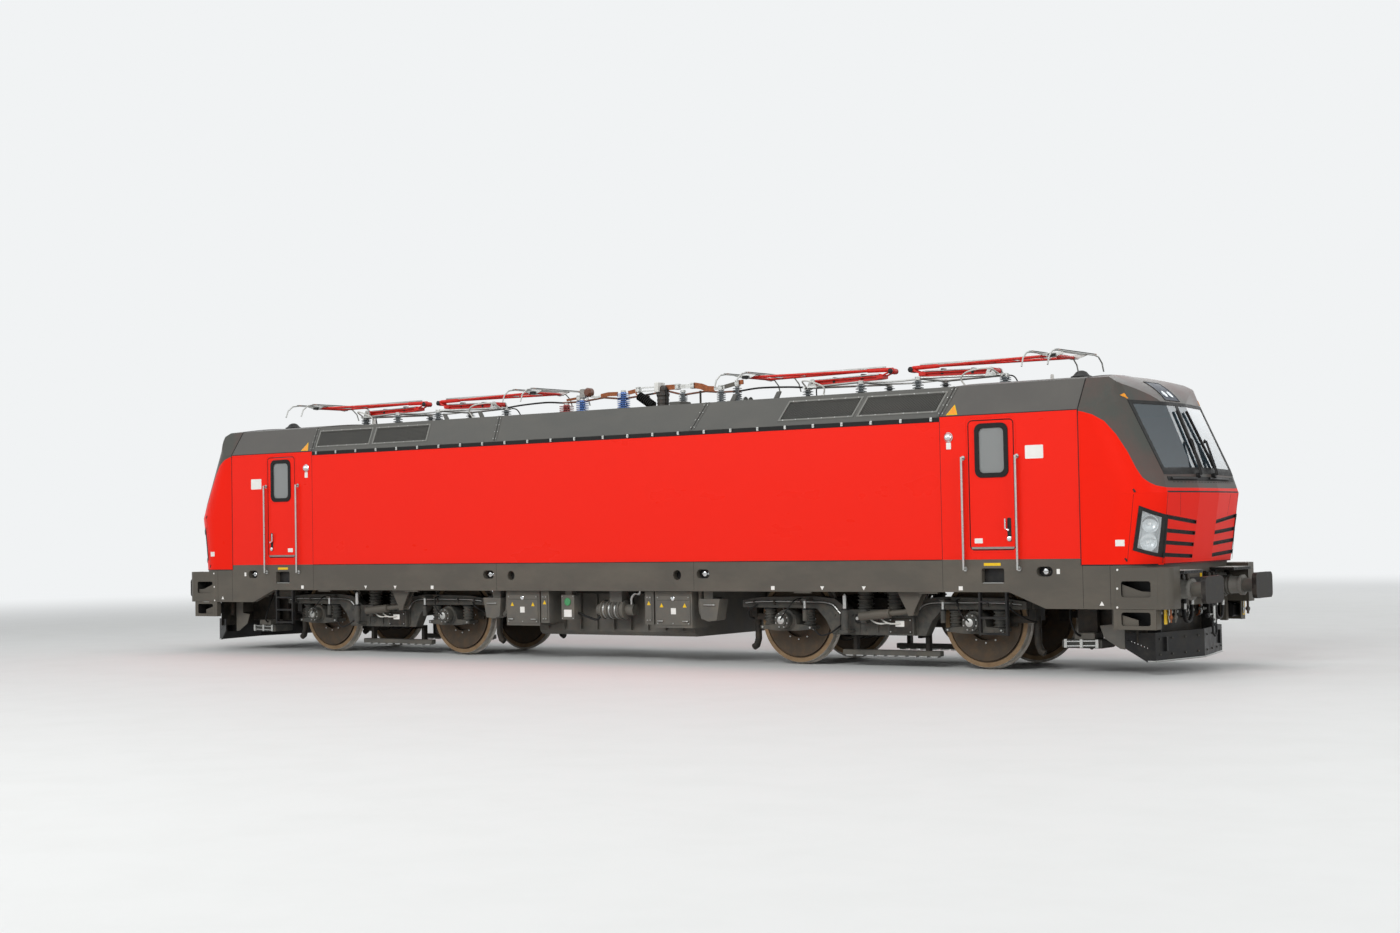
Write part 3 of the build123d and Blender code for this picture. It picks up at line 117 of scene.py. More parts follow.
@dataclass(frozen=True)
class Finish:
    """A real finish, and the sizes of what the eye sees in it.

    Attributes:
        name: what the finish is.
        colour: its colour, as a screen shows it.
        worn: colour of dust, rubbing or rust over it.
        worn_share: how strongly that shows in its patches.
        patch_mm: size of the patches.
        roughness: mean roughness.
        rough_spread: how far patches move the roughness.
        grain_mm: size of the fine grain.
        grain_deep_mm: depth of the fine grain.
        metallic: 1 for bare metal.
        coat: weight of a clear coat.
        stretch: how many times longer the patches are along the body.
        glass: share of light that passes through.
        specular: level of the plain surface reflection, 0.5 for an index of 1.5.
    """

    name: str
    colour: str
    worn: str
    worn_share: float
    patch_mm: float
    roughness: float
    rough_spread: float
    grain_mm: float
    grain_deep_mm: float = 0.03
    metallic: float = 0.0
    coat: float = 0.0
    stretch: float = 1.0
    glass: float = 0.0
    specular: float = 0.2

    def tint(self, tree: Tree, x: Socket, z: Socket) -> Socket | tuple:
        """Colour before wear; a finish with a pattern of its own overrides this."""
        return linear(self.colour)

    def material(self) -> bpy.types.Material:
        """Builds the material once and gives it back on later calls.

        Returns:
            The node material.
        """
        found = bpy.data.materials.get(self.name)
        if found:
            return found
        made = bpy.data.materials.new(self.name)
        made.use_nodes = True
        tree = made.node_tree
        tree.nodes.clear()
        place = add_node(tree, "TexCoord", {}, "Object")
        x, _, z = add_node(tree, "SeparateXYZ", {0: place}).node.outputs
        stretched = add_node(tree, "Mapping", {"Vector": place, "Scale": (1 / self.stretch, 1, 1)})
        patches = add_node(tree, "TexNoise", {
            "Vector": stretched, "Scale": 1000 / self.patch_mm, "Detail": 5.0, "Roughness": 0.62}, "Fac")
        grain = add_node(tree, "TexNoise", {
            "Vector": stretched, "Scale": 1000 / self.grain_mm, "Detail": 2.0}, "Fac")
        share = add_node(tree, "MapRange", {0: patches, 1: 0.42, 2: 0.72, 3: 0.0, 4: self.worn_share})
        tint = self.tint(tree, x, z)
        colour = add_node(tree, "Mix", {0: share, 6: tint, 7: linear(self.worn)}, 2, data_type="RGBA")
        rough = add_node(tree, "MapRange", {
            0: patches, 1: 0.3, 2: 0.7,
            3: self.roughness - self.rough_spread, 4: self.roughness + self.rough_spread})
        bump = add_node(tree, "Bump", {"Height": grain, "Distance": self.grain_deep_mm / 1000,
            "Strength": 1.0})
        surface = add_node(tree, "BsdfPrincipled", {
            "Base Color": colour, "Roughness": rough, "Metallic": self.metallic, "Normal": bump,
            "Coat Weight": self.coat, "Coat Roughness": 0.06, "Transmission Weight": self.glass,
            "Specular IOR Level": self.specular})
        add_node(tree, "OutputMaterial", {"Surface": surface})
        return made


@dataclass(frozen=True)
class NosePaint(Finish):
    """Body paint of a cab nose: red below and behind a swept line, grey above it."""

    upper: str = "#545551"
    line: tuple = ()
    edge: float = 0.002

    def tint(self, tree: Tree, x: Socket, z: Socket) -> Socket:
        """Splits the two colours along the swept line, a sum of straight drops over the distance.

        Args:
            tree: node tree of the material.
            x: distance along the body.
            z: height.

        Returns:
            The colour.
        """
        reach = add_node(tree, "Math", {0: x}, operation="ABSOLUTE")
        height = self.line[0][1] + RAIL
        for (x0, z0), (x1, z1) in zip(self.line, self.line[1:]):
            drop = add_node(tree, "MapRange", {0: reach, 1: x0, 2: x1, 3: 0.0, 4: z1 - z0})
            height = add_node(tree, "Math", {0: height, 1: drop}, operation="ADD")
        above = add_node(tree, "Math", {0: z, 1: height}, operation="SUBTRACT")
        share = add_node(tree, "MapRange", {0: above, 1: -self.edge, 2: self.edge})
        colours = {6: linear(self.colour), 7: linear(self.upper)}
        return add_node(tree, "Mix", {0: share, **colours}, 2, data_type="RGBA")


@dataclass(frozen=True)
class WheelSteel(Finish):
    """Wheel: dark disc, tan rusty rim and a bright tread."""

    bands: tuple = ((0.556, 0.004, "#8A7358"), (0.6185, 0.002, "#B9B4AC"))  # radius, soft edge, colour
    outside: float = 0.8

    def tint(self, tree: Tree, x: Socket, z: Socket) -> Socket:
        """Colours the wheel by its radius, the length of the way from its axle.

        Args:
            tree: node tree of the material.
            x: distance along the body.
            z: height.

        Returns:
            The colour.
        """
        along = x
        for offset in (PIN_X, AXLE_DX):
            along = add_node(tree, "Math", {0: along}, operation="ABSOLUTE")
            along = add_node(tree, "Math", {0: along, 1: offset}, operation="SUBTRACT")
        up = add_node(tree, "Math", {0: z, 1: AXLE_Z + RAIL}, operation="SUBTRACT")
        spoke = add_node(tree, "CombineXYZ", {0: along, 1: up})
        radius = add_node(tree, "VectorMath", {0: spoke}, "Value", operation="LENGTH")
        colour = linear(self.colour)
        for low, soft, own in self.bands:
            share = band(tree, radius, low, self.outside, soft)
            colour = add_node(tree, "Mix", {0: share, 6: colour, 7: linear(own)}, 2, data_type="RGBA")
        return colour


@dataclass(frozen=True)
class BandedFinish(Finish):
    """Finish of solids that hold pieces in several colours, told apart by their place along the body."""

    bands: tuple = ()  # low end, high end, colour
    soft: float = 0.005
    both_ends: bool = False

    def tint(self, tree: Tree, x: Socket, z: Socket) -> Socket:
        """Lays the colour of each band over the one before.

        Args:
            tree: node tree of the material.
            x: distance along the body.
            z: height.

        Returns:
            The colour.
        """
        reach = add_node(tree, "Math", {0: x}, operation="ABSOLUTE") if self.both_ends else x
        colour = linear(self.colour)
        for low, high, own in self.bands:
            share = band(tree, reach, low, high, self.soft)
            colour = add_node(tree, "Mix", {0: share, 6: colour, 7: linear(own)}, 2, data_type="RGBA")
        return colour


@dataclass(frozen=True)
class ClearCover(Finish):
    """Clear moulded cover: what is behind shows through, with a little of its own surface."""

    seen_share: float = 0.16

    def material(self) -> bpy.types.Material:
        """Mixes the finish with plain transparency, once.

        Returns:
            The node material.
        """
        made = super().material()
        tree = made.node_tree
        end = next(node for node in tree.nodes if node.bl_idname == "ShaderNodeOutputMaterial")
        own = end.inputs[0].links[0].from_socket
        if own.node.bl_idname != "ShaderNodeMixShader":
            clear = add_node(tree, "BsdfTransparent", {})
            both = add_node(tree, "MixShader", {0: self.seen_share, 1: clear, 2: own})
            tree.links.new(both, end.inputs[0])
        return made


MASK_LINE = (  # distance along the body, height of the line between red and grey
    (7.986, 3.350), (8.06, 3.333), (8.18, 3.295), (8.33, 3.205), (8.47, 3.035), (8.615, 2.800), (8.71, 2.605),
    (8.79, 2.475), (8.86, 2.415), (8.93, 2.375), (9.04, 2.345),
)

# Each finish below: name, colour, worn colour and its share, patch size, roughness and its spread,
# grain size and grain depth. Its own comment says what the eye sees.

# Smooth and bright, with long soft waves of the sheet metal
RED = Finish("gloss_red_body_paint", "#EE2211", "#E41E10", 0.12, 1400, 0.30, 0.05, 14, 0.02, stretch=3,
    specular=0.14)
# Clean and even in both colours, with one sharp line between them
NOSE = NosePaint("gloss_red_and_grey_nose_paint", "#EE2211", "#E2281A", 0.08, 900, 0.32, 0.05, 14, 0.02,
    specular=0.05, line=MASK_LINE)
# Half matt, with paler brown dust drawn out along the sill
FRAME_GREY = Finish("satin_warm_grey_frame_paint", "#56524B", "#6E675C", 0.45, 420, 0.46, 0.10, 9, stretch=2)
# Half matt and weathered pale in long patches
ROOF_GREY = Finish("satin_roof_paint", "#5B5B58", "#6F6C66", 0.4, 700, 0.5, 0.1, 9, stretch=2)
CAB_ROOF_GREY = Finish("satin_cab_roof_paint", "#5A5855", "#6B6862", 0.3, 700, 0.42, 0.08, 9)
# Dull, with sandy dust in small patches
GEAR_GREY = Finish("dusty_running_gear_paint", "#454542", "#7A7265", 0.42, 160, 0.62, 0.14, 5, 0.1)
# Nearly black, wet-looking in places and dusty in others
GEAR_DARK = Finish("oily_dark_running_gear_paint", "#2B2926", "#5E5346", 0.45, 120, 0.5, 0.18, 4, 0.12)
# Black with a soft sheen
BLACK_PAINT = Finish("black_steel_paint", "#1D1D1E", "#4A463F", 0.35, 180, 0.42, 0.12, 5, 0.06)
# Fine pebbled surface that hides reflections
CASE_GREY = Finish("powder_coated_case_grey", "#5F5D58", "#7B7365", 0.45, 240, 0.5, 0.1, 3, 0.06)
# Deep black lines without shine
RUBBER = Finish("black_window_rubber", "#141414", "#2C2B2A", 0.4, 60, 0.55, 0.1, 2, 0.05)
HOSE = Finish("black_hose_rubber", "#191919", "#3A3733", 0.4, 50, 0.5, 0.1, 2, 0.08)
# Bright metal with a broken highlight
STEEL = Finish("brushed_bare_steel", "#B4B5B3", "#8B8880", 0.35, 60, 0.34, 0.1, 1.2, metallic=1.0)
# Near mirror
CHROME = Finish("polished_chrome", "#D8DADB", "#B5B7B8", 0.2, 80, 0.12, 0.05, 3, 0.005, metallic=1.0)
# Pale, grainy metal with grey stains
ALUMINIUM = Finish("cast_light_alloy", "#B9BAB7", "#8F8D86", 0.45, 70, 0.42, 0.12, 2, 0.05, metallic=0.9)
# Matt black with rubbed grey streaks
CARBON = Finish("worn_carbon_strip", "#2A2A2B", "#5A5856", 0.4, 40, 0.6, 0.1, 2, 0.06)
# Brown metal, darkest where it has weathered
COPPER = Finish("weathered_copper_bar", "#8A5337", "#5D4638", 0.5, 50, 0.45, 0.12, 2, 0.05, metallic=0.85)
# The same on the solids of the line, with a dark breaker and a black arrester
BUS = BandedFinish("weathered_busbar_metal", "#7A5040", "#5D4638", 0.5, 50, 0.5, 0.12, 2, 0.05, metallic=0.4,
    bands=((0.15, 0.41, "#4B4A48"), (-0.16, 0.10, "#1D1F20")))
# Wet, glassy brown
BROWN_GLAZE = Finish("brown_glazed_ceramic", "#6B3F2B", "#553424", 0.3, 60, 0.24, 0.06, 6, 0.01, coat=0.6)
# Glassy grey sheds, with one red stack and two blue ones
GLAZE = BandedFinish("glazed_insulator_ceramic", "#6F7578", "#565A5C", 0.3, 60, 0.2, 0.06, 6, 0.01, coat=0.8,
    bands=((-1.80, -1.54, "#A32A22"), (-1.46, -1.22, "#4F7CC4"), (-0.62, -0.38, "#4F7CC4")), soft=0.01)
# Rough grey casting with the greasy dark face of its head
BUFFER = BandedFinish("cast_buffer_grey", "#8D8B85", "#5F5B54", 0.4, 120, 0.5, 0.12, 4, 0.1,
    bands=((9.428, 9.8, "#201D1B"),), soft=0.002, both_ends=True)
# Lighter than the hood, where hands and brushes rub it
EDGE_GREY = Finish("rubbed_grille_frame_paint", "#7A7A76", "#8C8A84", 0.4, 120, 0.45, 0.1, 5)
# Fresh red with small dull spots
ARM_RED = Finish("gloss_red_arm_paint", "#D62B22", "#8E2A22", 0.3, 90, 0.34, 0.1, 6, coat=0.1)
# Dull brown disc, with the rim and tread that the rail and the brakes keep clean
WHEEL = WheelSteel("rolled_wheel_steel", "#4B4238", "#6B5540", 0.5, 110, 0.52, 0.12, 4, 0.08, metallic=0.35)
# Blue-grey glass that shows the cab behind it, darkened; its blue-grey tint also paints in the sky's
# reflection
GLASS = Finish("tinted_cab_glass_with_painted_sky_reflection", "#687E8A", "#647884", 0.1, 400, 0.04, 0.02, 40, 0.0, glass=0.85)
# Pale glass: it shows the sky more than the cab
DOOR_GLASS = Finish("sky_lit_door_glass", "#999C9B", "#8E9190", 0.1, 400, 0.05, 0.02, 40, 0.0, glass=0.3,
    specular=0.5)
# Clear cover with a faint shine
LENS = ClearCover("clear_lamp_lens", "#EEF2F3", "#E4E9EA", 0.1, 100, 0.08, 0.02, 20, 0.0)
# Silver bowl, bright but not a full mirror
REFLECTOR = Finish("silvered_lamp_reflector", "#D3DADD", "#B9C0C4", 0.2, 60, 0.24, 0.05, 10, 0.01,
    metallic=0.35)
# Smooth dark plastic, with the shade of the lamp's shadow over it painted into its colour
LAMP_DARK = Finish("lamp_lid_dark_plastic_and_painted_shade", "#22262A", "#30353A", 0.2, 60, 0.3, 0.08, 6)
# Saturated orange with a wet shine
AMBER = Finish("amber_marker_lens", "#F09A20", "#D9851A", 0.2, 30, 0.2, 0.05, 4, coat=0.6)
# Pale grey plastic
HOUSING = Finish("moulded_lamp_housing", "#C9CFD1", "#AEB4B6", 0.2, 80, 0.3, 0.08, 8)
# Milky bright glass
LENS_CLEAR = Finish("pressed_lamp_bulb_glass", "#F4F6F6", "#DDE2E4", 0.1, 60, 0.12, 0.04, 10, coat=0.5)
# Deep blue-black pane
BROW_GLASS = Finish("dark_brow_glass", "#1C2A3E", "#243449", 0.15, 300, 0.30, 0.03, 30, 0.0, specular=0.03)
# Enamel: clean flat colour with a thin shine
GREEN_DIAL = Finish("green_enamel_dial", "#3F8F5A", "#5E7A63", 0.3, 50, 0.35, 0.08, 5, coat=0.4)
WHITE_PLATE = Finish("white_enamel_plate", "#E9E8E3", "#CFCCC4", 0.25, 120, 0.35, 0.08, 5, coat=0.3)
YELLOW_PLATE = Finish("yellow_enamel_plate", "#E8BE1E", "#C9A42A", 0.3, 60, 0.4, 0.08, 5, coat=0.2)
# Matt grained plastic
CAB_LINING = Finish("moulded_cab_lining", "#6F6E6A", "#84817B", 0.3, 200, 0.6, 0.08, 2, 0.1)
# Off-white sleeve, a little soiled
WHITE_CABLE = Finish("white_flexible_lead", "#D5D4CE", "#AFABA1", 0.4, 40, 0.5, 0.1, 2, 0.05)
# Coarse bumps that catch the light on their edges
TREAD = Finish("ribbed_tread_metal", "#8E8D88", "#6B6861", 0.4, 40, 0.4, 0.1, 6, 0.4, metallic=0.7)


@dataclass(frozen=True)
class Plane3:
    """A flat place to draw on: its origin, and the way that each drawn axis points."""

    origin: tuple
    u: tuple
    v: tuple

    def lift(self, points: np.ndarray, depth: np.ndarray | float) -> np.ndarray:
        """Takes drawn points into space.

        Args:
            points: drawn points, n by 2.
            depth: distance from the plane, one number or one for each point.

        Returns:
            The points in space, n by 3: origin plus u times the first coordinate, v times
            the second and the normal, the cross product of u and v, times the depth.
        """
        u, v = np.array(self.u, float), np.array(self.v, float)
        out = np.cross(u, v)
        deep = np.broadcast_to(np.asarray(depth, float), len(points))
        return np.array(self.origin) + points[:, :1] * u + points[:, 1:2] * v + deep[:, None] * out


def side_face(y: float) -> Plane3:
    """Plane of the near side view at a distance across; its normal is -Y."""
    return Plane3((0, y, 0), AHEAD, UP)


WALL = side_face(WALL_Y)


def end_face(x: float) -> Plane3:
    """Plane of the view on cab 2 at a distance along; its normal is +X."""
    return Plane3((x, 0, 0), (0, 1, 0), UP)


def top_face(z: float) -> Plane3:
    """Plane of the view from above at a height; its normal is +Z."""
    return Plane3((0, 0, z), AHEAD, (0, 1, 0))


def about(middle: float, half: float) -> tuple[float, float]:
    """Span of a length about its middle."""
    return middle - half, middle + half


def rectangle(u: tuple, v: tuple) -> np.ndarray:
    """Outline of a rectangle from its spans, counterclockwise."""
    return np.array([(u[0], v[0]), (u[1], v[0]), (u[1], v[1]), (u[0], v[1])], float)


def rounded(u: tuple, v: tuple, radius: float, steps: int = 6) -> np.ndarray:
    """Outline of a rectangle with round corners, counterclockwise.

    Args:
        u: span of the first coordinate.
        v: span of the second coordinate.
        radius: radius of the corners.
        steps: points in each quarter circle.

    Returns:
        The outline: each corner's centre plus the radius times cosine and sine.
    """
    turn = np.linspace(0, math.pi / 2, steps)
    corners = []
    for k, (cu, cv) in enumerate(
        ((u[1] - radius, v[1] - radius), (u[0] + radius, v[1] - radius),
         (u[0] + radius, v[0] + radius), (u[1] - radius, v[0] + radius))
    ):
        angle = turn + k * math.pi / 2
        corners.append(np.stack([cu + radius * np.cos(angle), cv + radius * np.sin(angle)], 1))
    return np.concatenate(corners)


def inset(outline: np.ndarray, amount: float) -> np.ndarray:
    """Moves every edge of a counterclockwise outline inwards.

    Args:
        outline: corner points, n by 2.
        amount: how far; negative moves outwards.

    Returns:
        The new corners, each the old one plus the two edge normals' sum over one plus
        their dot product, times the amount.
    """
    ahead = np.roll(outline, -1, 0) - outline
    ahead /= np.maximum(np.linalg.norm(ahead, axis=1, keepdims=True), 1e-9)
    normal = np.stack([-ahead[:, 1], ahead[:, 0]], 1)
    before = np.roll(normal, 1, 0)
    dot = np.sum(normal * before, 1, keepdims=True)
    return outline + amount * (normal + before) / np.maximum(1 + dot, 0.2)


class Body(Enum):
    """Bodies that carry pieces."""

    SHELL = "body"
    BOGIE = "bogie_{}"
    DOOR = "cab_door_{}"
    LOWER = "lower_arm_{}"
    UPPER = "upper_arm_{}"
    HEAD = "collector_head_{}"
    WHEELS = "wheelset_{}"

    def named(self, number: int = 0) -> str:
        """Name of the body with its number."""
        return self.value.format(number)


class Shape:
    """Surfaces of one piece: arrays of points, and faces with their finish."""

    def __init__(self) -> None:
        """Starts empty."""
        self.points: list[np.ndarray] = []
        self.faces: list[tuple[np.ndarray, Finish]] = []
        self.total = 0

    def add(self, points: np.ndarray, faces: list[np.ndarray], finish: Finish) -> None:
        """Adds points and the faces between them.

        Args:
            points: n by 3.
            faces: arrays of point numbers, one row for each face.
            finish: finish of these faces.
        """
        self.faces += [(np.atleast_2d(f) + self.total, finish) for f in faces]
        self.points.append(np.asarray(points, float))
        self.total += len(points)

    def rings(self, rings: np.ndarray, finish: Finish, wrap: bool = False, caps: bool = True) -> None:
        """Skins closed rings that lie one after the other.

        Args:
            rings: m rings of n points, m by n by 3, counterclockwise seen from the last.
            finish: finish of the skin.
            wrap: joins the last ring to the first.
            caps: closes the first and the last ring.
        """
        m, n, _ = rings.shape
        row = np.arange(m if wrap else m - 1)
        a = (row[:, None] * n + np.arange(n)).ravel()
        b = (row[:, None] * n + (np.arange(n) + 1) % n).ravel()
        up = np.where(a // n == m - 1, -(m - 1) * n, n) if wrap else n
        faces = [np.stack([a, b, b + up, a + up], 1)]
        if caps and not wrap:
            faces += [np.arange(n)[::-1], np.arange(n) + (m - 1) * n]
        self.add(rings.reshape(-1, 3), faces, finish)

    def slab(self, plane: Plane3, outline: np.ndarray, low: float, high: float, finish: Finish,
             edge: float = 0.003) -> None:
        """Flat piece with chamfered edges.

        Args:
            plane: where the outline is drawn.
            outline: counterclockwise corners.
            low: depth of its back.
            high: depth of its front.
            finish: its finish.
            edge: width of the chamfer.
        """
        small = inset(outline, edge)
        rings = [plane.lift(o, d) for o, d in (
            (small, low), (outline, low + edge), (outline, high - edge), (small, high))]
        self.rings(np.array(rings), finish)

    def block(self, x: tuple, y: tuple, z: tuple, finish: Finish, edge: float = 0.004) -> None:
        """Chamfered block over a span of each axis."""
        x, y, z = sorted(x), sorted(y), sorted(z)
        self.slab(top_face(0), rectangle(x, y), z[0], z[1], finish, edge)

    def frame(self, plane: Plane3, outer: np.ndarray, inner: np.ndarray, low: float, high: float,
              finish: Finish, edge: float = 0.003) -> None:
        """Flat ring between two outlines with as many points each.

        Args:
            plane: where the outlines are drawn.
            outer: outer outline, counterclockwise.
            inner: inner outline, counterclockwise.
            low: depth of its back.
            high: depth of its front.
            finish: its finish.
            edge: width of the chamfer along the front.
        """
        rings = [plane.lift(o, d) for o, d in (
            (inner, low), (outer, low), (outer, high - edge), (inset(outer, edge), high),
            (inset(inner, -edge), high), (inner, high - edge))]
        self.rings(np.array(rings), finish, wrap=True)

    def tube(self, path: np.ndarray, radius: float | np.ndarray, finish: Finish, sides: int = 12,
             closed: bool = False) -> None:
        """Round bar along a path.

        At each point it has a circle across the path's own direction, turned from the world
        axis that the path follows least.

        Args:
            path: points along its middle, n by 3.
            radius: one radius, or one for each point.
            finish: its finish.
            sides: faces around.
            closed: joins its end to its start.
        """
        path = np.asarray(path, float)
        if closed:
            ahead = np.roll(path, -1, 0) - np.roll(path, 1, 0)
        else:
            ahead = np.gradient(path, axis=0)
        ahead /= np.maximum(np.linalg.norm(ahead, axis=1, keepdims=True), 1e-9)
        still = np.eye(3)[np.argmin(np.abs(ahead).max(0))]
        first = np.cross(ahead, still)
        first /= np.linalg.norm(first, axis=1, keepdims=True)
        second = np.cross(ahead, first)
        angle = np.arange(sides) * 2 * math.pi / sides
        radius = np.broadcast_to(np.asarray(radius, float), len(path))[:, None, None]
        ring = np.cos(angle)[None, :, None] * first[:, None] + np.sin(angle)[None, :, None] * second[:, None]
        self.rings(path[:, None] + radius * ring, finish, wrap=closed)

    def strip(self, surface: Surface, path: np.ndarray, half: float | np.ndarray, low: float, high: float,
              finish: Finish) -> None:
        """Flat bar that follows a drawn line on a surface.

        At each point it has a four-cornered ring, half the width to either side of the line
        along its own normal.

        Args:
            surface: surface that it lies on.
            path: drawn points along its middle, n by 2.
            half: half its width, one number or one for each point.
            low: distance of its back from the surface.
            high: distance of its front.
            finish: its finish.
        """
        path = np.asarray(path, float)
        ahead = np.gradient(path, axis=0)
        ahead /= np.maximum(np.linalg.norm(ahead, axis=1, keepdims=True), 1e-9)
        normal = np.stack([-ahead[:, 1], ahead[:, 0]], 1) * np.broadcast_to(half, len(path))[:, None]
        left, right = path + normal, path - normal
        rings = [surface(*edge.T, out) for edge, out in ((left, high), (right, high), (right, low),
            (left, low))]
        self.rings(np.stack(rings, 1), finish)

    def patch(self, surface: Surface, corners: tuple, low: float, high: float, finish: Finish,
              steps: tuple = (8, 8)) -> None:
        """Four-cornered plate that follows a surface.

        It has rows between the first and the last side, each a ring over the front and back
        under it.

        Args:
            surface: surface that it lies on.
            corners: four drawn corners, counterclockwise.
            low: distance of its back from the surface.
            high: distance of its front.
            finish: its finish.
            steps: points along the first and the second side.
        """
        c = np.asarray(corners, float)
        across, up = np.linspace(0, 1, steps[0])[:, None], np.linspace(0, 1, steps[1])
        rows = []
        for share in up:
            left, right = c[0] + (c[3] - c[0]) * share, c[1] + (c[2] - c[1]) * share
            line = left + (right - left) * across
            rows.append(np.concatenate([surface(*line.T, high), surface(*line[::-1].T, low)]))
        self.rings(np.array(rows), finish)

    def ring_on(self, surface: Surface, inner: np.ndarray, width: float, low: float, high: float,
                finish: Finish) -> None:
        """Closed band between a drawn outline on a surface and its own offset, with square edges.

        Args:
            surface: surface that it lies on.
            inner: counterclockwise inner outline.
            width: width of the band.
            low: distance of its back from the surface.
            high: distance of its front.
            finish: its finish.
        """
        outer = inset(inner, -width)
        rings = [surface(*edge.T, out) for edge, out in ((inner, low), (outer, low), (outer, high),
            (inner, high))]
        self.rings(np.array(rings), finish, wrap=True)

    def bar(self, start: tuple, end: tuple, radius: float, finish: Finish, sides: int = 12) -> None:
        """Straight round bar with small chamfers at its ends.

        Args:
            start: first end.
            end: second end.
            radius: radius.
            finish: its finish.
            sides: faces around.
        """
        start, end = np.array(start, float), np.array(end, float)
        chamfer = (end - start) / np.linalg.norm(end - start) * radius * 0.12
        path = np.array([start, start + chamfer, end - chamfer, end])
        self.tube(path, radius * np.array([0.88, 1, 1, 0.88]), finish, sides)

    def turned(self, profile: list, origin: tuple, axis: tuple, finish: Finish, sides: int = 32) -> None:
        """Surface turned about an axis: circles across it, each with the profile's radius.

        Args:
            profile: pairs of distance along the axis and radius.
            origin: where the axis starts.
            axis: its direction.
            finish: its finish.
            sides: faces around.
        """
        along = np.array(axis, float) / np.linalg.norm(axis)
        still = np.eye(3)[np.argmin(np.abs(along))]
        first = np.cross(along, still)
        first /= np.linalg.norm(first)
        second = np.cross(along, first)
        angle = np.arange(sides) * 2 * math.pi / sides
        ring = np.cos(angle)[:, None] * first + np.sin(angle)[:, None] * second
        height, radius = np.array(profile, float).T
        rings = np.array(origin) + height[:, None, None] * along + radius[:, None, None] * ring
        self.rings(rings, finish)

    def cap(self, place: tuple, way: tuple, wall: tuple, top: tuple, finish: Finish, sides: int = 32) -> None:
        """Round cap: radius and height of its upright wall, then those of its smaller top."""
        profile = [(0, 0), (0, wall[0]), (wall[1], wall[0]), (top[1], top[0]), (top[1], 0)]
        self.turned(profile, place, way, finish, sides)

    def bolt(self, place: tuple, way: tuple, radius: float, finish: Finish, sides: int = 6) -> None:
        """Bolt head with a chamfered top, as high as its radius."""
        profile = [(-0.002, 0), (-0.002, radius), (radius * 0.8, radius), (radius, radius * 0.8), (radius, 0)]
        self.turned(profile, place, way, finish, sides)

    def join(self, other: "Shape", move: tuple = (0, 0, 0), flip: tuple = (1, 1, 1),
             inside_out: bool = False) -> "Shape":
        """Adds a copy of another shape, mirrored and then moved.

        Args:
            other: shape to copy.
            move: how far the copy moves.
            flip: factor of -1 for each mirrored axis.
            inside_out: turns the faces of the copy round.

        Returns:
            The shape itself.
        """
        turned = (np.prod(flip) < 0) != inside_out
        for faces, finish in other.faces:
            self.faces.append((faces[:, ::-1] + self.total if turned else faces + self.total, finish))
        self.points += [p * np.array(flip, float) + np.array(move, float) for p in other.points]
        self.total += other.total
        return self

    def piece(self, name: str, body: str = Body.SHELL.named(), slot: str | None = None,
              replaces: tuple = ()) -> bpy.types.Object:
        """Makes the object, gives it its finishes and fixes it to its body.

        Args:
            name: name of the piece.
            body: body that carries it.
            slot: not used.
            replaces: nodes that it stands for.

        Returns:
            The new object.
        """
        points = np.concatenate(self.points) + (0, 0, RAIL)
        finishes = list(dict.fromkeys(finish for _, finish in self.faces))
        sizes = np.concatenate([np.full(len(f), f.shape[1]) for f, _ in self.faces])
        loops = np.concatenate([f.ravel() for f, _ in self.faces])
        kinds = np.concatenate([np.full(len(f), finishes.index(finish)) for f, finish in self.faces])
        mesh = bpy.data.meshes.new(name)
        mesh.vertices.add(len(points))
        mesh.vertices.foreach_set("co", points.ravel())
        mesh.loops.add(len(loops))
        mesh.loops.foreach_set("vertex_index", loops.astype(np.int32))
        mesh.polygons.add(len(sizes))
        mesh.polygons.foreach_set("loop_start", (np.cumsum(sizes) - sizes).astype(np.int32))
        mesh.update(calc_edges=True)
        for finish in finishes:
            mesh.materials.append(finish.material())
        mesh.polygons.foreach_set("material_index", kinds.astype(np.int32))
        mesh.polygons.foreach_set("use_smooth", np.ones(len(sizes), bool))
        mesh.set_sharp_from_angle(angle=math.radians(32))
        made = bpy.data.objects.new(name, mesh)
        bpy.context.scene.collection.objects.link(made)
        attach(made, body)
        if replaces:
            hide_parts(*replaces)
        LOG.info("%s: %d faces on %s", name, len(sizes), body)
        return made


def at_corners(part: Shape) -> Shape:
    """Copies what one corner of the body carries, drawn at cab 2 on the near side, to all four.

    Args:
        part: what the first place carries.

    Returns:
        The shape of all four.
    """
    whole = Shape()
    for end in ENDS:
        for side in SIDES:
            whole.join(part, flip=(end, -side, 1))
    return whole


def at_ends(part: Shape) -> Shape:
    """Copies what cab 2 carries to cab 1."""
    return Shape().join(part).join(part, flip=(-1, 1, 1))


class Assembly(Shape):
    """A sub-assembly of the locomotive: a shape whose own methods draw its parts."""

    def drawn(self, *parts: Callable[[], None]) -> "Assembly":
        """Empties the shape and draws parts into it.

        Args:
            parts: methods that draw one part each.

        Returns:
            The shape itself.
        """
        Shape.__init__(self)
        for part in parts:
            part()
        return self


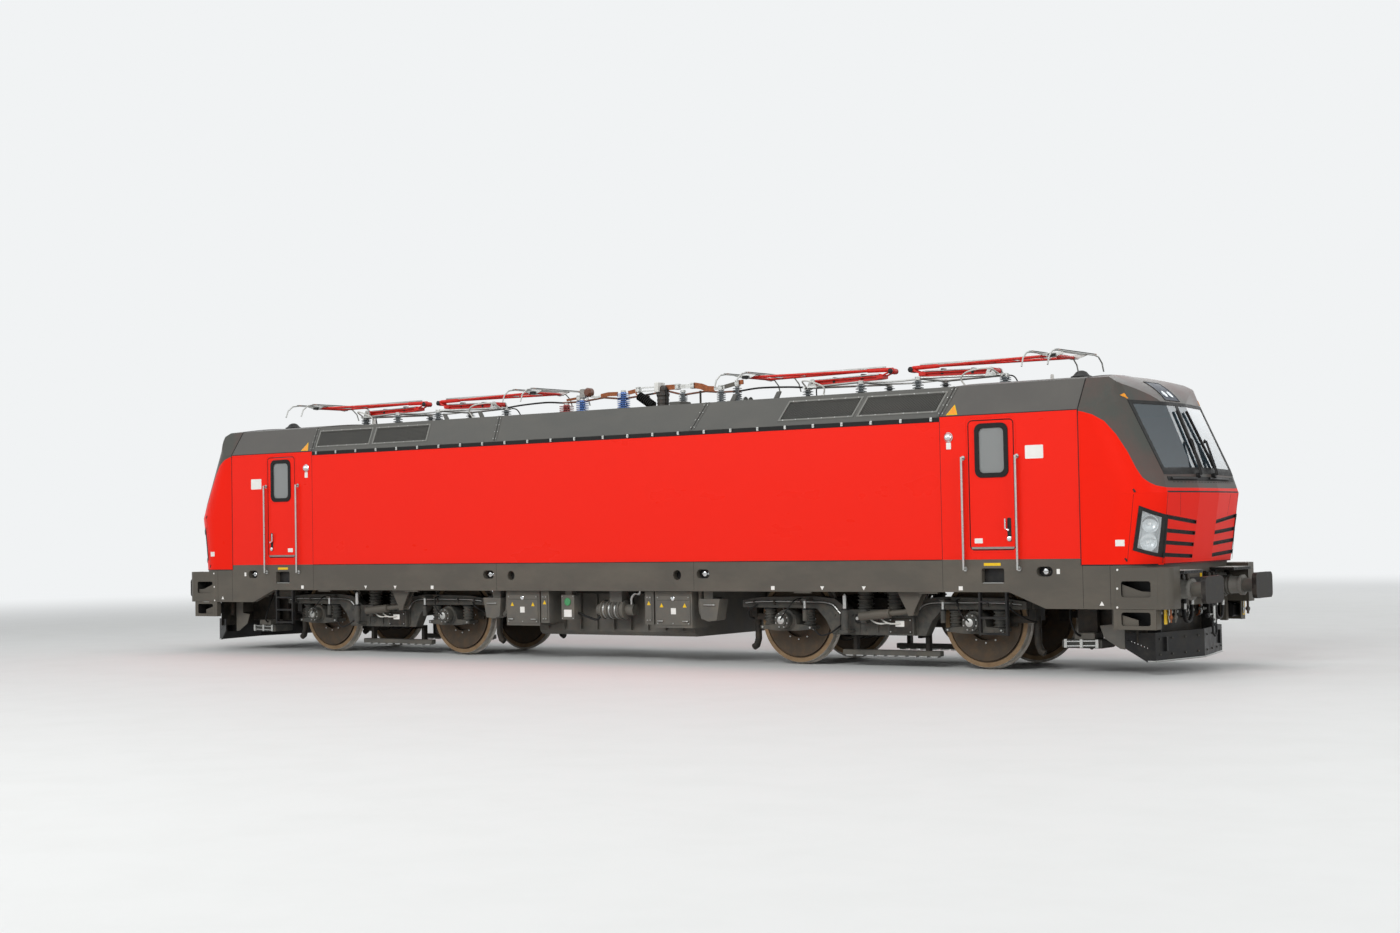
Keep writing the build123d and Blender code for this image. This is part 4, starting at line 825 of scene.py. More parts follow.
@dataclass
class NoseSkin:
    """Outer surface of the nose at cab 2: plan outlines by height, joined by straight lines."""

    heights: tuple = (1.380, 2.285, 2.560, 3.450, 3.905)
    bow: tuple = (8.975, 9.115, 9.035, 8.680, 8.500)
    corner_x: tuple = (8.940, 9.040, 8.970, 8.548, 8.370)
    corner_y: tuple = (1.105, 1.222, 1.165, 1.190, 1.195)
    side_x: tuple = (8.430, 8.450, 8.370, 8.030, 7.995)
    bow_half: float = 0.330
    half_width: float = -WALL_Y

    def plan(self, z: np.ndarray) -> tuple:
        """Interpolates the plan's measures at a height.

        Args:
            z: heights above the rail.

        Returns:
            Bow x, corner x, corner y and where the side starts to curve.
        """
        return tuple(np.interp(z, self.heights, row) for row in (self.bow, self.corner_x, self.corner_y,
            self.side_x))

    def front(self, y: np.ndarray, z: np.ndarray, out: float = 0.0) -> np.ndarray:
        """Points on the front, as drawn in the end view.

        Args:
            y: distances across.
            z: heights.
            out: distance in front of the skin.

        Returns:
            Points, n by 3: x is the bow's within its flat, then falls in a straight line
            to the corner.
        """
        y, z = np.asarray(y, float), np.asarray(z, float)
        bow, corner_x, corner_y, _ = self.plan(z)
        share = np.clip((np.abs(y) - self.bow_half) / (corner_y - self.bow_half), 0, 1.2)
        x = bow + (corner_x - bow) * share
        slope = np.where(z > 2.56, 0.40, np.where(z > 2.285, 0.29, -0.15))
        length = np.sqrt(1 + slope ** 2)
        return np.stack([x + out / length, y, z + out * slope / length], -1)

    def flank(self, x: np.ndarray, z: np.ndarray, out: float = 0.0, side: float = -1.0) -> np.ndarray:
        """Points on the side, as drawn in the side view.

        Args:
            x: distances along.
            z: heights.
            out: distance outside the skin.
            side: -1 for the near side.

        Returns:
            Points, n by 3: y follows the half width, then a circle that leaves it without
            a bend and passes through the corner.
        """
        x, z = np.asarray(x, float), np.asarray(z, float)
        _, corner_x, corner_y, side_x = self.plan(z)
        a, b = corner_x - side_x, self.half_width - corner_y
        radius = (a * a + b * b) / (2 * b)
        run = np.clip(x - side_x, 0, None)
        fall = radius - np.sqrt(np.maximum(radius ** 2 - run ** 2, 1e-6))
        normal = np.stack([run / radius, np.sqrt(np.maximum(1 - (run / radius) ** 2, 0))], -1)
        y = self.half_width - fall
        return np.stack([x + out * normal[..., 0], side * (y + out * normal[..., 1]), z], -1)


SKIN = NoseSkin()


def along(points: list, gap: float = 0.03) -> np.ndarray:
    """Fills a drawn line with points no further apart than a gap.

    Args:
        points: corners of the line.
        gap: largest distance between points.

    Returns:
        The points, n by 2.
    """
    points = np.asarray(points, float)
    filled = []
    for a, b in zip(points, points[1:]):
        count = max(int(math.ceil(np.linalg.norm(b - a) / gap)), 1)
        filled.append(a + (b - a) * np.arange(count)[:, None] / count)
    return np.concatenate([*filled, points[-1:]])


def looped(corners: list, gap: float = 0.05) -> np.ndarray:
    """Fills a closed outline with points no further apart than a gap."""
    return along([*corners, corners[0]], gap)[:-1]


def near_side(x: np.ndarray, z: np.ndarray, out: float) -> np.ndarray:
    """Points on the flat side wall nearest to the camera, as a surface to draw on."""
    return np.stack([x, np.full_like(x, WALL_Y - out), z], -1)


def near_cheek(x: np.ndarray, share: np.ndarray, out: float) -> np.ndarray:
    """Points on the sloping cheek of the roof: foot to top by share, leaning with the hood joints.

    Args:
        x: place along.
        share: 0 at the foot of the cheek, 1 at its top.
        out: distance outside the sheet.

    Returns:
        Points, n by 3: the straight line from foot to top, plus the normal times the distance.
    """
    run, rise = 0.274 * share, 0.408 * share
    normal = np.array(CHEEK_OUT) * out
    points = np.stack([x + 0.27 * rise, WALL_Y + run, 3.372 + rise], -1)
    return points + normal


def brow(y: np.ndarray, angle: np.ndarray, out: float) -> np.ndarray:
    """Points on the brow over the windscreen: a circle in the side view, drawn by its angle."""
    radius = 0.939 + out
    return np.stack([7.887 + radius * np.sin(angle), y, 2.937 + radius * np.cos(angle)], -1)


@dataclass
class NodePaint:
    """Finishes of the solids that show as they are."""

    finishes: dict = field(default_factory=lambda: {
        "underframe": FRAME_GREY, "hall_walls": RED, "cab_sides": RED, "roof_hoods": ROOF_GREY,
        "cab_roofs": CAB_ROOF_GREY, "cab_shells": NOSE, "windscreens": GLASS, "cab_interiors": CAB_LINING,
        "cab_door": RED, "door_pane": DOOR_GLASS, "grab_rails": STEEL, "cab_ladders": BLACK_PAINT,
        "headlamps": LENS, "buffers": BUFFER, "draw_gear": BLACK_PAINT, "snow_ploughs": BLACK_PAINT,
        "transformer": CASE_GREY, "underfloor_cabinets": CASE_GREY, "converter_block": CASE_GREY,
        "roof_insulators": GLAZE, "roof_busbars": BUS, "pantograph_frames": ALUMINIUM,
        "bogie_frame": GEAR_GREY, "suspension": GEAR_GREY, "bogie_drive": GEAR_DARK, "wheelset": WHEEL,
        "lower_arm": ARM_RED, "upper_arm": ARM_RED, "collector_head": ALUMINIUM,
    })

    def dress(self) -> None:
        """Gives every solid its finish."""
        for node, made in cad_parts.items():
            stem = node if node in self.finishes else node.rpartition("_")[0]
            material = self.finishes[stem].material()
            slots = made.material_slots
            if not slots:
                made.data.materials.append(material)
            for slot in slots:
                slot.material = material
        LOG.info("%d solids painted", len(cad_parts))


@dataclass
class BodySides(Assembly):
    """Side walls and sill: lip under the hoods, joints, plates, fillers, steps and marks."""

    clamp_pitch: float = 0.466
    clamps: int = 13
    seams_on_sill: tuple = (1.9, 5.985, 8.001, 8.374)
    bolts: tuple = ((8.473, 1.325), (8.466, 1.09), (8.46, 0.854))
    squares: tuple = (3.27, 6.25)
    triangles: tuple = (4.09, 4.76, 8.252)
    ovals: tuple = ((7.47, 1.307), (2.065, 1.29))
    pockets: tuple = (  # middle x, middle z, half length, half height
        (6.728, 1.252, 0.185, 0.12),
        (7.47, 1.307, 0.135, 0.085), (2.065, 1.29, 0.135, 0.085), (1.6, 1.275, 0.092, 0.092),
    )

    def lip(self) -> None:
        """Black strip under the hoods, painted shade of the recessed gutter there, with its clamps."""
        # Black strip: painted shade of the recessed gutter under the hoods' edge
        self.block((0, 5.98), (-1.511, -1.49), (3.302, 3.362), RUBBER, 0.002)
        for x in 5.868 - self.clamp_pitch * np.arange(self.clamps):
            self.block(about(x, 0.017), (-1.526, -1.508), (3.312, 3.366), ALUMINIUM, 0.004)
            self.bar((x, -1.524, 3.34), (x, -1.534, 3.34), 0.009, STEEL, 8)
        self.block((0, 5.98), (-1.5125, -1.49), (1.462, 1.470), RUBBER, 0.001)
        self.block((6.0, 7.97), (-1.5085, -1.49), (3.364, 3.374), RUBBER, 0.001)

    def joints(self) -> None:
        """Seal at the seam between cab and nose, and panel joints of the walls."""
        self.strip(near_side, along([(SEAM_X, 1.39), (SEAM_X, 3.37)], 0.3), 0.0055, -0.02, 0.0025, RUBBER)
        self.strip(near_side, along([(5.987, 1.47), (5.987, 3.30)], 0.3), 0.003, -0.02, 0.0008, RUBBER)
        for x in self.seams_on_sill:
            low = 1.05 if x < 7 else 0.84
            self.strip(near_side, along([(x, low), (x, 1.375 if x > 7 else 1.46)], 0.3), 0.002, -0.002,
                0.0008, RUBBER)
        door = rounded((6.408, 7.072), (1.59, 3.296), 0.06)
        self.frame(WALL, inset(door, -0.004), inset(door, 0.004), -0.03, 0.002, RUBBER, 0.001)

    def marks(self) -> None:
        """Blank plates, painted marks and bolts on the sill."""
        self.slab(WALL, rounded((7.233, 7.491), (2.766, 2.94), 0.012), -0.001, 0.0025, WHITE_PLATE, 0.001)
        self.slab(WALL, rounded((7.64, 7.685), (1.275, 1.34), 0.004), -0.001, 0.002, WHITE_PLATE, 0.0008)
        for x in self.squares:
            self.slab(WALL, rectangle(about(x, 0.03), (1.063, 1.117)), -0.001, 0.0015, WHITE_PLATE, 0.0005)
        for x in self.triangles:
            triangle = np.array([(x, 1.06), (x + 0.032, 1.115), (x - 0.032, 1.115)])
            if x > 8:
                triangle = np.array([(x - 0.032, 0.875), (x + 0.032, 0.875), (x, 0.93)])
            self.slab(WALL, triangle, -0.001, 0.0015, WHITE_PLATE, 0.0005)
        for x, z in self.bolts:
            self.turned([(-0.002, 0), (-0.002, 0.014), (0.006, 0.014), (0.009, 0.009), (0.009, 0)],
                (x, WALL_Y, z), NEAR, WHITE_PLATE, 16)
        self.slab(WALL, rectangle((6.600, 6.845), (1.385, 1.422)), -0.001, 0.002, YELLOW_PLATE, 0.0005)
        self.strip(SKIN.flank, along([(8.455, 1.625), (8.455, 1.70)], 0.02), 0.001, -0.001, 0.0015,
            WHITE_PLATE)
        self.patch(SKIN.flank, ((8.455, 1.622), (8.572, 1.622), (8.572, 1.702), (8.455, 1.702)), -0.001,
            0.002, WHITE_PLATE)

    def pans(self) -> None:
        """Black sheets at the backs of the pockets, painted shade of the recesses, with fillers, treads and
        the sill plate under the door.
        """
        # Black sheet at the back of each pocket: painted shade of the recess
        for x, z, half, high in self.pockets:
            self.block(about(x, half), (-1.4145, -1.404), about(z, high), BLACK_PAINT)
        for x, z in self.ovals:
            self.turned([(0, 0), (0, 0.05), (0.012, 0.05), (0.018, 0.042), (0.04, 0.042), (0.048, 0.034),
                (0.052, 0.012), (0.052, 0)], (x, -1.414, z), NEAR, CHROME, 32)
            self.bar((x - 0.034, -1.475, z), (x + 0.034, -1.475, z), 0.008, STEEL)
        self.block((6.575, 6.881), (-1.5, -1.42), (1.153, 1.166), ALUMINIUM)

    def lamp(self) -> None:
        """Round side lamp ahead of the door, with its tab."""
        self.turned([(-0.002, 0), (-0.002, 0.066), (0.012, 0.066), (0.018, 0.058), (0.034, 0.052),
            (0.048, 0.038), (0.056, 0.018), (0.058, 0)], (6.12, WALL_Y, 3.09), NEAR, CHROME, 40)
        self.slab(WALL, rounded((6.085, 6.155), (2.93, 3.02), 0.006), -0.001, 0.01, WHITE_PLATE, 0.002)

    def build(self) -> None:
        """Makes the piece of all four corners."""
        shape = self.drawn(self.lip, self.joints, self.marks, self.pans, self.lamp)
        at_corners(shape).piece("body_side_fittings")


@dataclass
class CornerPlates(Assembly):
    """Wing plates outside the buffers: a flat side with two step pockets and a rounded front corner."""

    face_y: float = -1.5085
    flat_x: tuple = (8.431, 9.00)
    low_x: tuple = (8.465, 8.975)
    heights: tuple = (0.575, 0.83, 1.352)
    corner: float = 0.16
    inner_y: float = -1.17
    back_y: float = -1.275
    pockets: tuple = (  # span along, span up, corners of the step plate as shares of both
        ((8.516, 8.908), (0.982, 1.182), ((0, 0), (1, 0), (1, 0.33), (0.66, 0.36), (0, 0.80))),
        ((8.511, 8.899), (0.624, 0.792), ((0, 0), (0.55, 0), (0.55, 0.42), (0, 0.78))),
    )

    def side(self) -> None:
        """Flat side, its pockets with dark walls, and the sloping step in each."""
        low, middle, top = self.heights
        face, deep = side_face(self.face_y), self.face_y - self.back_y
        plates = [rounded(self.flat_x, (middle, top), 0.004)]
        plates.append(rounded(self.low_x, (low, middle - 0.003), 0.004))
        for plate, (x, z, shares) in zip(plates, self.pockets):
            hole = rounded(x, z, 0.03)
            self.frame(face, plate, hole, -0.010, 0.0, FRAME_GREY, 0.002)
            self.frame(face, inset(hole, -0.008), hole, deep, -0.004, BLACK_PAINT, 0.001)
            self.slab(face, inset(hole, -0.006), deep - 0.008, deep, BLACK_PAINT, 0.001)
            step = np.array([x[0], z[0]]) + np.array(shares) * np.array([x[1] - x[0], z[1] - z[0]])
            self.slab(face, step, -0.045, -0.032, FRAME_GREY, 0.001)

    def nose(self) -> None:
        """Rounded front of the plate with its top, underside and inner wall."""
        _, middle, top = self.heights
        start = self.flat_x[1]
        turn = np.linspace(-math.pi / 2, 0, 12)

        def round_corner(radius: float) -> np.ndarray:
            """Quarter circle in plan about the corner's centre."""
            centre = np.array([start, self.face_y + self.corner])
            return centre + radius * np.stack([np.cos(turn), np.sin(turn)], 1)

        front = start + self.corner
        outer = np.concatenate([round_corner(self.corner), [(front, self.inner_y)]])
        inner = np.concatenate([[(front - 0.01, self.inner_y)], round_corner(self.corner - 0.01)[::-1]])
        self.slab(top_face(0), np.concatenate([outer, inner]), middle, top, FRAME_GREY, 0.002)
        cover = np.concatenate([
            [(8.50, self.face_y + 0.005)], round_corner(self.corner - 0.004), [(front - 0.004, self.inner_y)],
            [(8.85, self.inner_y), (8.50, -1.40)],
        ])
        self.slab(top_face(0), cover, top - 0.012, top - 0.002, FRAME_GREY, 0.002)
        # Underside in dark paint: painted shade under the rounded corner
        self.slab(top_face(0), cover, middle + 0.002, middle + 0.010, GEAR_DARK, 0.002)
        self.block((8.85, front - 0.004), (self.inner_y - 0.01, self.inner_y), (middle + 0.004, top - 0.004),
            FRAME_GREY)
        self.block((9.02, 9.028), (-1.37, -1.29), (0.64, 0.835), YELLOW_PLATE, 0.002)
        for x, y, finish in ((9.045, -1.27, STEEL), (9.085, -1.31, COPPER), (9.12, -1.25, CASE_GREY)):
            self.bar((x, y, 0.66), (x, y, 0.836), 0.011, finish)
            self.turned([(0, 0), (0, 0.02), (0.03, 0.026), (0.05, 0.02), (0.05, 0)], (x, y, 0.70), UP, finish,
                16)
        edge = self.low_x[1]
        self.block((edge - 0.010, edge), (self.face_y + 0.002, -1.36), (self.heights[0] + 0.002, middle),
            FRAME_GREY)

    def stays(self) -> None:
        """Plough stay behind the plate, dark sheets that paint the shade under the nose, and the antenna box
        ahead of the last wheel.
        """
        stay = np.array([(8.03, 0.60), (8.09, 0.44), (8.30, 0.31), (8.37, 0.30), (8.37, 1.17), (8.20, 1.17),
            (8.20, 0.62)])
        self.slab(side_face(-1.10), stay, -0.014, 0.0, CASE_GREY, 0.002)
        # Dark sheet on the middle line: painted shade under the nose, where the far side would show through
        self.block((7.52, 8.42), (-0.66, 0.0), (0.48, 0.90), GEAR_DARK, 0.012)
        # Dark sheet over the bulkhead, wider and taller than it: painted shade in the gaps under the
        # headstock
        self.block((8.592, 8.602), (-1.24, 0.0), (0.40, 1.15), GEAR_DARK)
        # Dark plate ahead of the corner plate: painted shade where the pale backdrop would show through
        self.block((8.38, 8.44), (-1.16, -1.13), (0.58, 1.16), GEAR_DARK)
        self.block((7.66, 7.86), (-0.80, -0.72), (0.40, 0.92), GEAR_DARK, 0.006)
        self.block((7.46, 8.02), (-1.02, -0.62), (0.30, 0.41), GEAR_GREY, 0.012)
        self.block((7.62, 7.90), (-0.98, -0.70), (0.405, 0.50), CASE_GREY, 0.01)
        for z in (0.325, 0.385):
            self.bar((7.50, -1.034, z), (7.98, -1.034, z + 0.015), 0.013, STEEL)
        for x in (7.52, 7.74, 7.96):
            self.block(about(x, 0.02), (-1.05, -1.01), (0.305, 0.42), ALUMINIUM)
        self.tube(arc((7.70, -0.98, 0.46), (7.66, -1.06, 0.52), (7.60, -1.05, 0.70), (7.58, -0.95, 0.95),
            (7.58, -0.90, 1.16)), 0.014, HOSE, 8)

    def build(self) -> None:
        """Makes the piece of all four corners."""
        shape = self.drawn(self.side, self.nose, self.stays)
        at_corners(shape).piece("corner_plate_fittings")


@dataclass
class CabDoors:
    """What each door leaf carries: window rubber, handle plate, tread strip."""

    radius: float = 0.098

    def build(self) -> None:
        """Makes one piece for each leaf."""
        for number, (end, side) in enumerate(((-1, -1), (-1, 1), (1, -1), (1, 1)), 1):
            shape = Shape()
            outer = rounded((6.504, 6.992), (2.538, 3.252), self.radius, 10)
            inner = rounded((6.566, 6.930), (2.600, 3.190), self.radius - 0.03, 10)
            shape.frame(WALL, outer, inner, 0.002, 0.0145, RUBBER, 0.004)
            shape.slab(WALL, rounded((6.473, 6.592), (1.68, 1.745), 0.006), -0.001, 0.002, WHITE_PLATE, 0.001)
            shape.slab(WALL, rounded((6.43, 7.05), (1.603, 1.632), 0.006), -0.001, 0.006, TREAD, 0.002)
            shape.slab(WALL, rounded((6.955, 7.012), (1.70, 2.01), 0.02), -0.001, 0.004, BLACK_PAINT, 0.001)
            shape.cap((6.985, WALL_Y, 1.735), NEAR, (0.031, 0.019), (0.027, 0.021), CHROME, 24)
            shape.bar((6.985, -1.508, 1.85), (6.985, -1.552, 1.85), 0.0148, CHROME)
            shape.tube(np.array([(6.988, -1.544, 1.849), (6.94, -1.544, 1.87), (6.94, -1.544, 1.997)]),
                0.0112, CHROME)
            leaf = Shape().join(shape, flip=(end, -side, 1))
            leaf.piece(f"cab_door_fittings_{number}", Body.DOOR.named(number))


@dataclass
class NoseFittings(Assembly):
    """Both noses: screen rubbers, wipers, top lamp window, black slot fillings painted as the slots' shade,
    panel joints, markers.
    """

    pane: tuple = ((0.045, 2.575), (1.128, 2.560), (1.158, 3.430), (0.045, 3.430))
    borders: tuple = (  # corners of the sill and of the outer post, points along each side
        (((0.045, 2.575), (1.128, 2.560), (1.129, 2.600), (0.045, 2.615)), (14, 3)),
        (((1.098, 2.600), (1.129, 2.600), (1.158, 3.430), (1.124, 3.430)), (3, 14)),
    )
    slots: tuple = ((1.982, 1.906), (1.810, 1.765), (1.660, 1.620), (1.504, 1.470))
    slot_y: tuple = (0.345, 1.165)
    brow_window: tuple = (0.24, 0.50, 0.93)

    def screens(self) -> None:
        """Black rubber round each pane and the cowl panel below both."""
        for side in SIDES:
            corners = [(side * y, z) for y, z in self.pane]
            self.ring_on(SKIN.front, looped(corners if side > 0 else corners[::-1]), 0.046, -0.004, 0.004,
                RUBBER)
            for border, steps in self.borders:
                border = [(side * y, z) for y, z in border]
                border = border if side > 0 else [border[k] for k in (1, 0, 3, 2)]
                self.patch(SKIN.front, border, -0.001, 0.003, RUBBER, steps)
        self.strip(SKIN.front, along([(1.10, 2.462), (-1.10, 2.462)], 0.06), 0.026, -0.004, 0.006, RUBBER)
        self.strip(SKIN.front, along([(-1.02, 2.462), (-0.30, 2.466)], 0.06), 0.012, 0.004, 0.030,
            BLACK_PAINT)
        self.strip(SKIN.front, along([(0.10, 2.466), (0.86, 2.462)], 0.06), 0.012, 0.004, 0.030, BLACK_PAINT)
        for y in np.linspace(-0.95, 0.95, 20):
            self.strip(SKIN.front, along([(y - 0.03, 2.42), (y + 0.03, 2.42)], 0.05), 0.004, -0.002, 0.002,
                RUBBER)

    def wipers(self) -> None:
        """One wiper for each pane: pivot, arm with its parallel rod, and a blade held upright."""
        for side, pivot, foot, tip in ((-1, 0.26, 0.10, 0.12), (1, 0.26, 0.36, 0.20)):
            base = SKIN.front(side * pivot, 2.50, 0.0)
            self.bar(tuple(base), tuple(SKIN.front(side * pivot, 2.50, 0.055)), 0.036, BLACK_PAINT, 16)
            for shift in (0.0, 0.04):
                y = np.linspace(side * (pivot + shift), side * (foot + shift), 12)
                arm = SKIN.front(y, np.linspace(2.50, 2.95, 12), 0.062)
                self.tube(arm, 0.012, BLACK_PAINT, 8)
            y = np.linspace(side * foot, side * tip, 18)
            z = np.linspace(2.60, 3.36, 18)
            self.tube(SKIN.front(y, z, 0.032), 0.015, BLACK_PAINT, 8)
            self.tube(SKIN.front(y, z, 0.013), 0.006, RUBBER, 6)
            self.tube(SKIN.front(np.full(4, side * foot), np.linspace(2.93, 2.97, 4),
                np.array([0.03, 0.04, 0.05, 0.06])), 0.014, BLACK_PAINT, 8)

    def grille(self) -> None:
        """Black strips sunk in the slots of the front and black lips round them, painted shade of the slots,
        and the joints of its panels.
        """
        for side in SIDES:
            for outer, inner in self.slots:
                # Black strip sunk in the slot and black lips round its edge: painted shade of the slot's
                # depth and of the shadow at its edges
                path = along([(side * self.slot_y[0], inner), (side * self.slot_y[1], outer)], 0.08)
                self.strip(SKIN.front, path, 0.0185, -0.046, -0.016, RUBBER)
                edge = [(side * y, z + dz) for y, z, dz in (
                    (self.slot_y[0], inner, -0.0165), (self.slot_y[1], outer, -0.0165),
                    (self.slot_y[1], outer, 0.0165), (self.slot_y[0], inner, 0.0165))]
                self.ring_on(SKIN.front, looped(edge if side > 0 else edge[::-1], 0.08), 0.009, -0.018,
                    0.0012, RUBBER)
            self.strip(SKIN.front, along([(side * 1.175, 1.40), (side * 1.195, 2.275)], 0.06), 0.0022, -0.003,
                0.001, RUBBER)
            self.strip(SKIN.front, along([(side * 0.80, 2.0), (side * 0.86, 2.275)], 0.06), 0.0018, -0.003,
                0.0008, RUBBER)
        self.strip(SKIN.front, along([(1.2, 2.296), (-1.2, 2.296)], 0.06), 0.009, -0.004, 0.003, RUBBER)
        self.strip(SKIN.front, along([(1.1, 1.388), (-1.1, 1.388)], 0.06), 0.006, -0.004, 0.002, RUBBER)

    def flanks(self) -> None:
        """Joints and catches behind the lamps, drawn on the near side."""
        self.strip(SKIN.flank, along([(8.70, 2.30), (8.60, 1.44)], 0.05), 0.002, -0.003, 0.0008, RUBBER)
        self.strip(SKIN.flank, along([(7.99, 1.386), (8.94, 1.386)], 0.05), 0.007, -0.004, 0.002, RUBBER)
        for x, z in ((8.705, 2.315), (8.585, 1.45)):
            self.strip(SKIN.flank, along([(x - 0.012, z + 0.02), (x + 0.012, z - 0.02)], 0.02), 0.010, -0.002,
                0.008, BLACK_PAINT)
        self.strip(SKIN.flank, along([(8.478, 3.548), (8.53, 3.492)], 0.026),
            np.array([0.020, 0.015, 0.006, 0.004]), -0.004, 0.009, AMBER)

    def top_lamp(self) -> None:
        """Dark window in the brow with the two top lamps under it."""
        half, low, high = self.brow_window
        self.patch(brow, ((-half, high), (half, high), (half, low), (-half, low)), -0.002, 0.003, BROW_GLASS,
            (9, 9))
        self.ring_on(brow, looped([(-half, high), (half, high), (half, low), (-half, low)], 0.05), 0.012,
            -0.003, 0.006, RUBBER)
        for y in (-0.09, 0.09):
            centre = brow(np.array(y), np.array(0.80), 0.003)
            self.turned([(0, 0), (0, 0.058), (0.004, 0.058), (0.006, 0.05), (0.003, 0)], tuple(centre),
                (math.sin(0.80), 0, math.cos(0.80)), REFLECTOR, 32)

    def build(self) -> None:
        """Makes the piece of both noses."""
        front = self.drawn(self.screens, self.wipers, self.grille, self.top_lamp)
        at_ends(front).piece("nose_fittings")
        at_corners(self.drawn(self.flanks)).piece("nose_flank_fittings")


@dataclass
class LampUnits(Assembly):
    """Headlamps in the cheeks: black frame, silver housing, two reflectors under lids, clear lens."""

    outline: tuple = ((8.692, 1.585), (8.922, 1.499), (8.992, 1.986), (8.772, 2.090))
    frame_width: float = 0.026
    deep: float = 0.085
    # The upper lid's dark finish carries painted shade of the lamp's shadow; the lower lid has the housing's
    # grey
    places: tuple = ((8.862, 1.895, LAMP_DARK), (8.835, 1.665, HOUSING))  # x, z, finish of the lid
    bowl: tuple = (  # distance ahead, radius
        (0.000, 0.0), (0.001, 0.02), (0.006, 0.045), (0.018, 0.074), (0.036, 0.094), (0.052, 0.103),
        (0.056, 0.103), (0.056, 0.109), (0.030, 0.104), (-0.006, 0.06), (-0.008, 0.0),
    )
    bulb: tuple = ((0.0, 0), (0.0, 0.024), (0.03, 0.022), (0.044, 0.012), (0.047, 0))

    def housing(self) -> None:
        """Black frame, silver floor and the walls between them: skewed outside, upright inside."""
        outline = looped(list(self.outline), 0.04)
        self.ring_on(SKIN.flank, inset(outline, 0.020), self.frame_width + 0.020, -0.012, 0.007, BLACK_PAINT)
        inner = inset(np.array(self.outline), 0.018)
        self.patch(SKIN.flank, inner, -self.deep - 0.006, -self.deep, REFLECTOR, (12, 12))
        walls = looped(list(map(tuple, inner)), 0.04)
        rings = [SKIN.flank(*walls.T, out) for out in (-self.deep - 0.006, -0.008)]
        straight = rings[1] + np.array([0, self.deep, 0])
        for pair in (rings, [straight, rings[1]]):
            wall = Shape()
            wall.rings(np.array(pair), HOUSING, caps=False)
            self.join(wall, inside_out=True)

    def lamps(self) -> None:
        """Two bowls with their bulbs, each under a lid that shades its upper half."""
        ahead = np.array([0.62, -0.78, 0.04])
        across = np.cross(ahead, UP)
        across /= np.linalg.norm(across)
        up = np.cross(across, ahead)
        turn = np.linspace(0.1, math.pi - 0.1, 14)[:, None]
        for x, z, lid_finish in self.places:
            origin = SKIN.flank(np.array(x), np.array(z), 0.0) - 0.080 * ahead
            self.turned(list(self.bowl), tuple(origin), tuple(ahead), REFLECTOR, 40)
            self.turned(list(self.bulb), tuple(origin), tuple(ahead), LENS_CLEAR, 24)
            rim = origin + 0.104 * (np.cos(turn) * across + np.sin(turn) * up) + 0.054 * ahead
            brim = origin + 0.060 * np.cos(turn) * across + (0.050 + 0.012 * np.sin(turn)) * up
            lid = np.concatenate([rim, (brim + 0.050 * ahead)[::-1]])
            self.rings(np.array([lid - 0.006 * ahead, lid]), lid_finish)

    def cover(self) -> None:
        """Clear lens over the whole lamp."""
        self.patch(SKIN.flank, inset(np.array(self.outline), 0.004), -0.004, 0.0, LENS, (14, 14))

    def build(self) -> None:
        """Makes the piece of all four lamps in place of the plain blocks."""
        shape = self.drawn(self.housing, self.lamps, self.cover)
        at_corners(shape).piece("headlamp_units", slot="lamp_lens", replaces=("headlamps",))


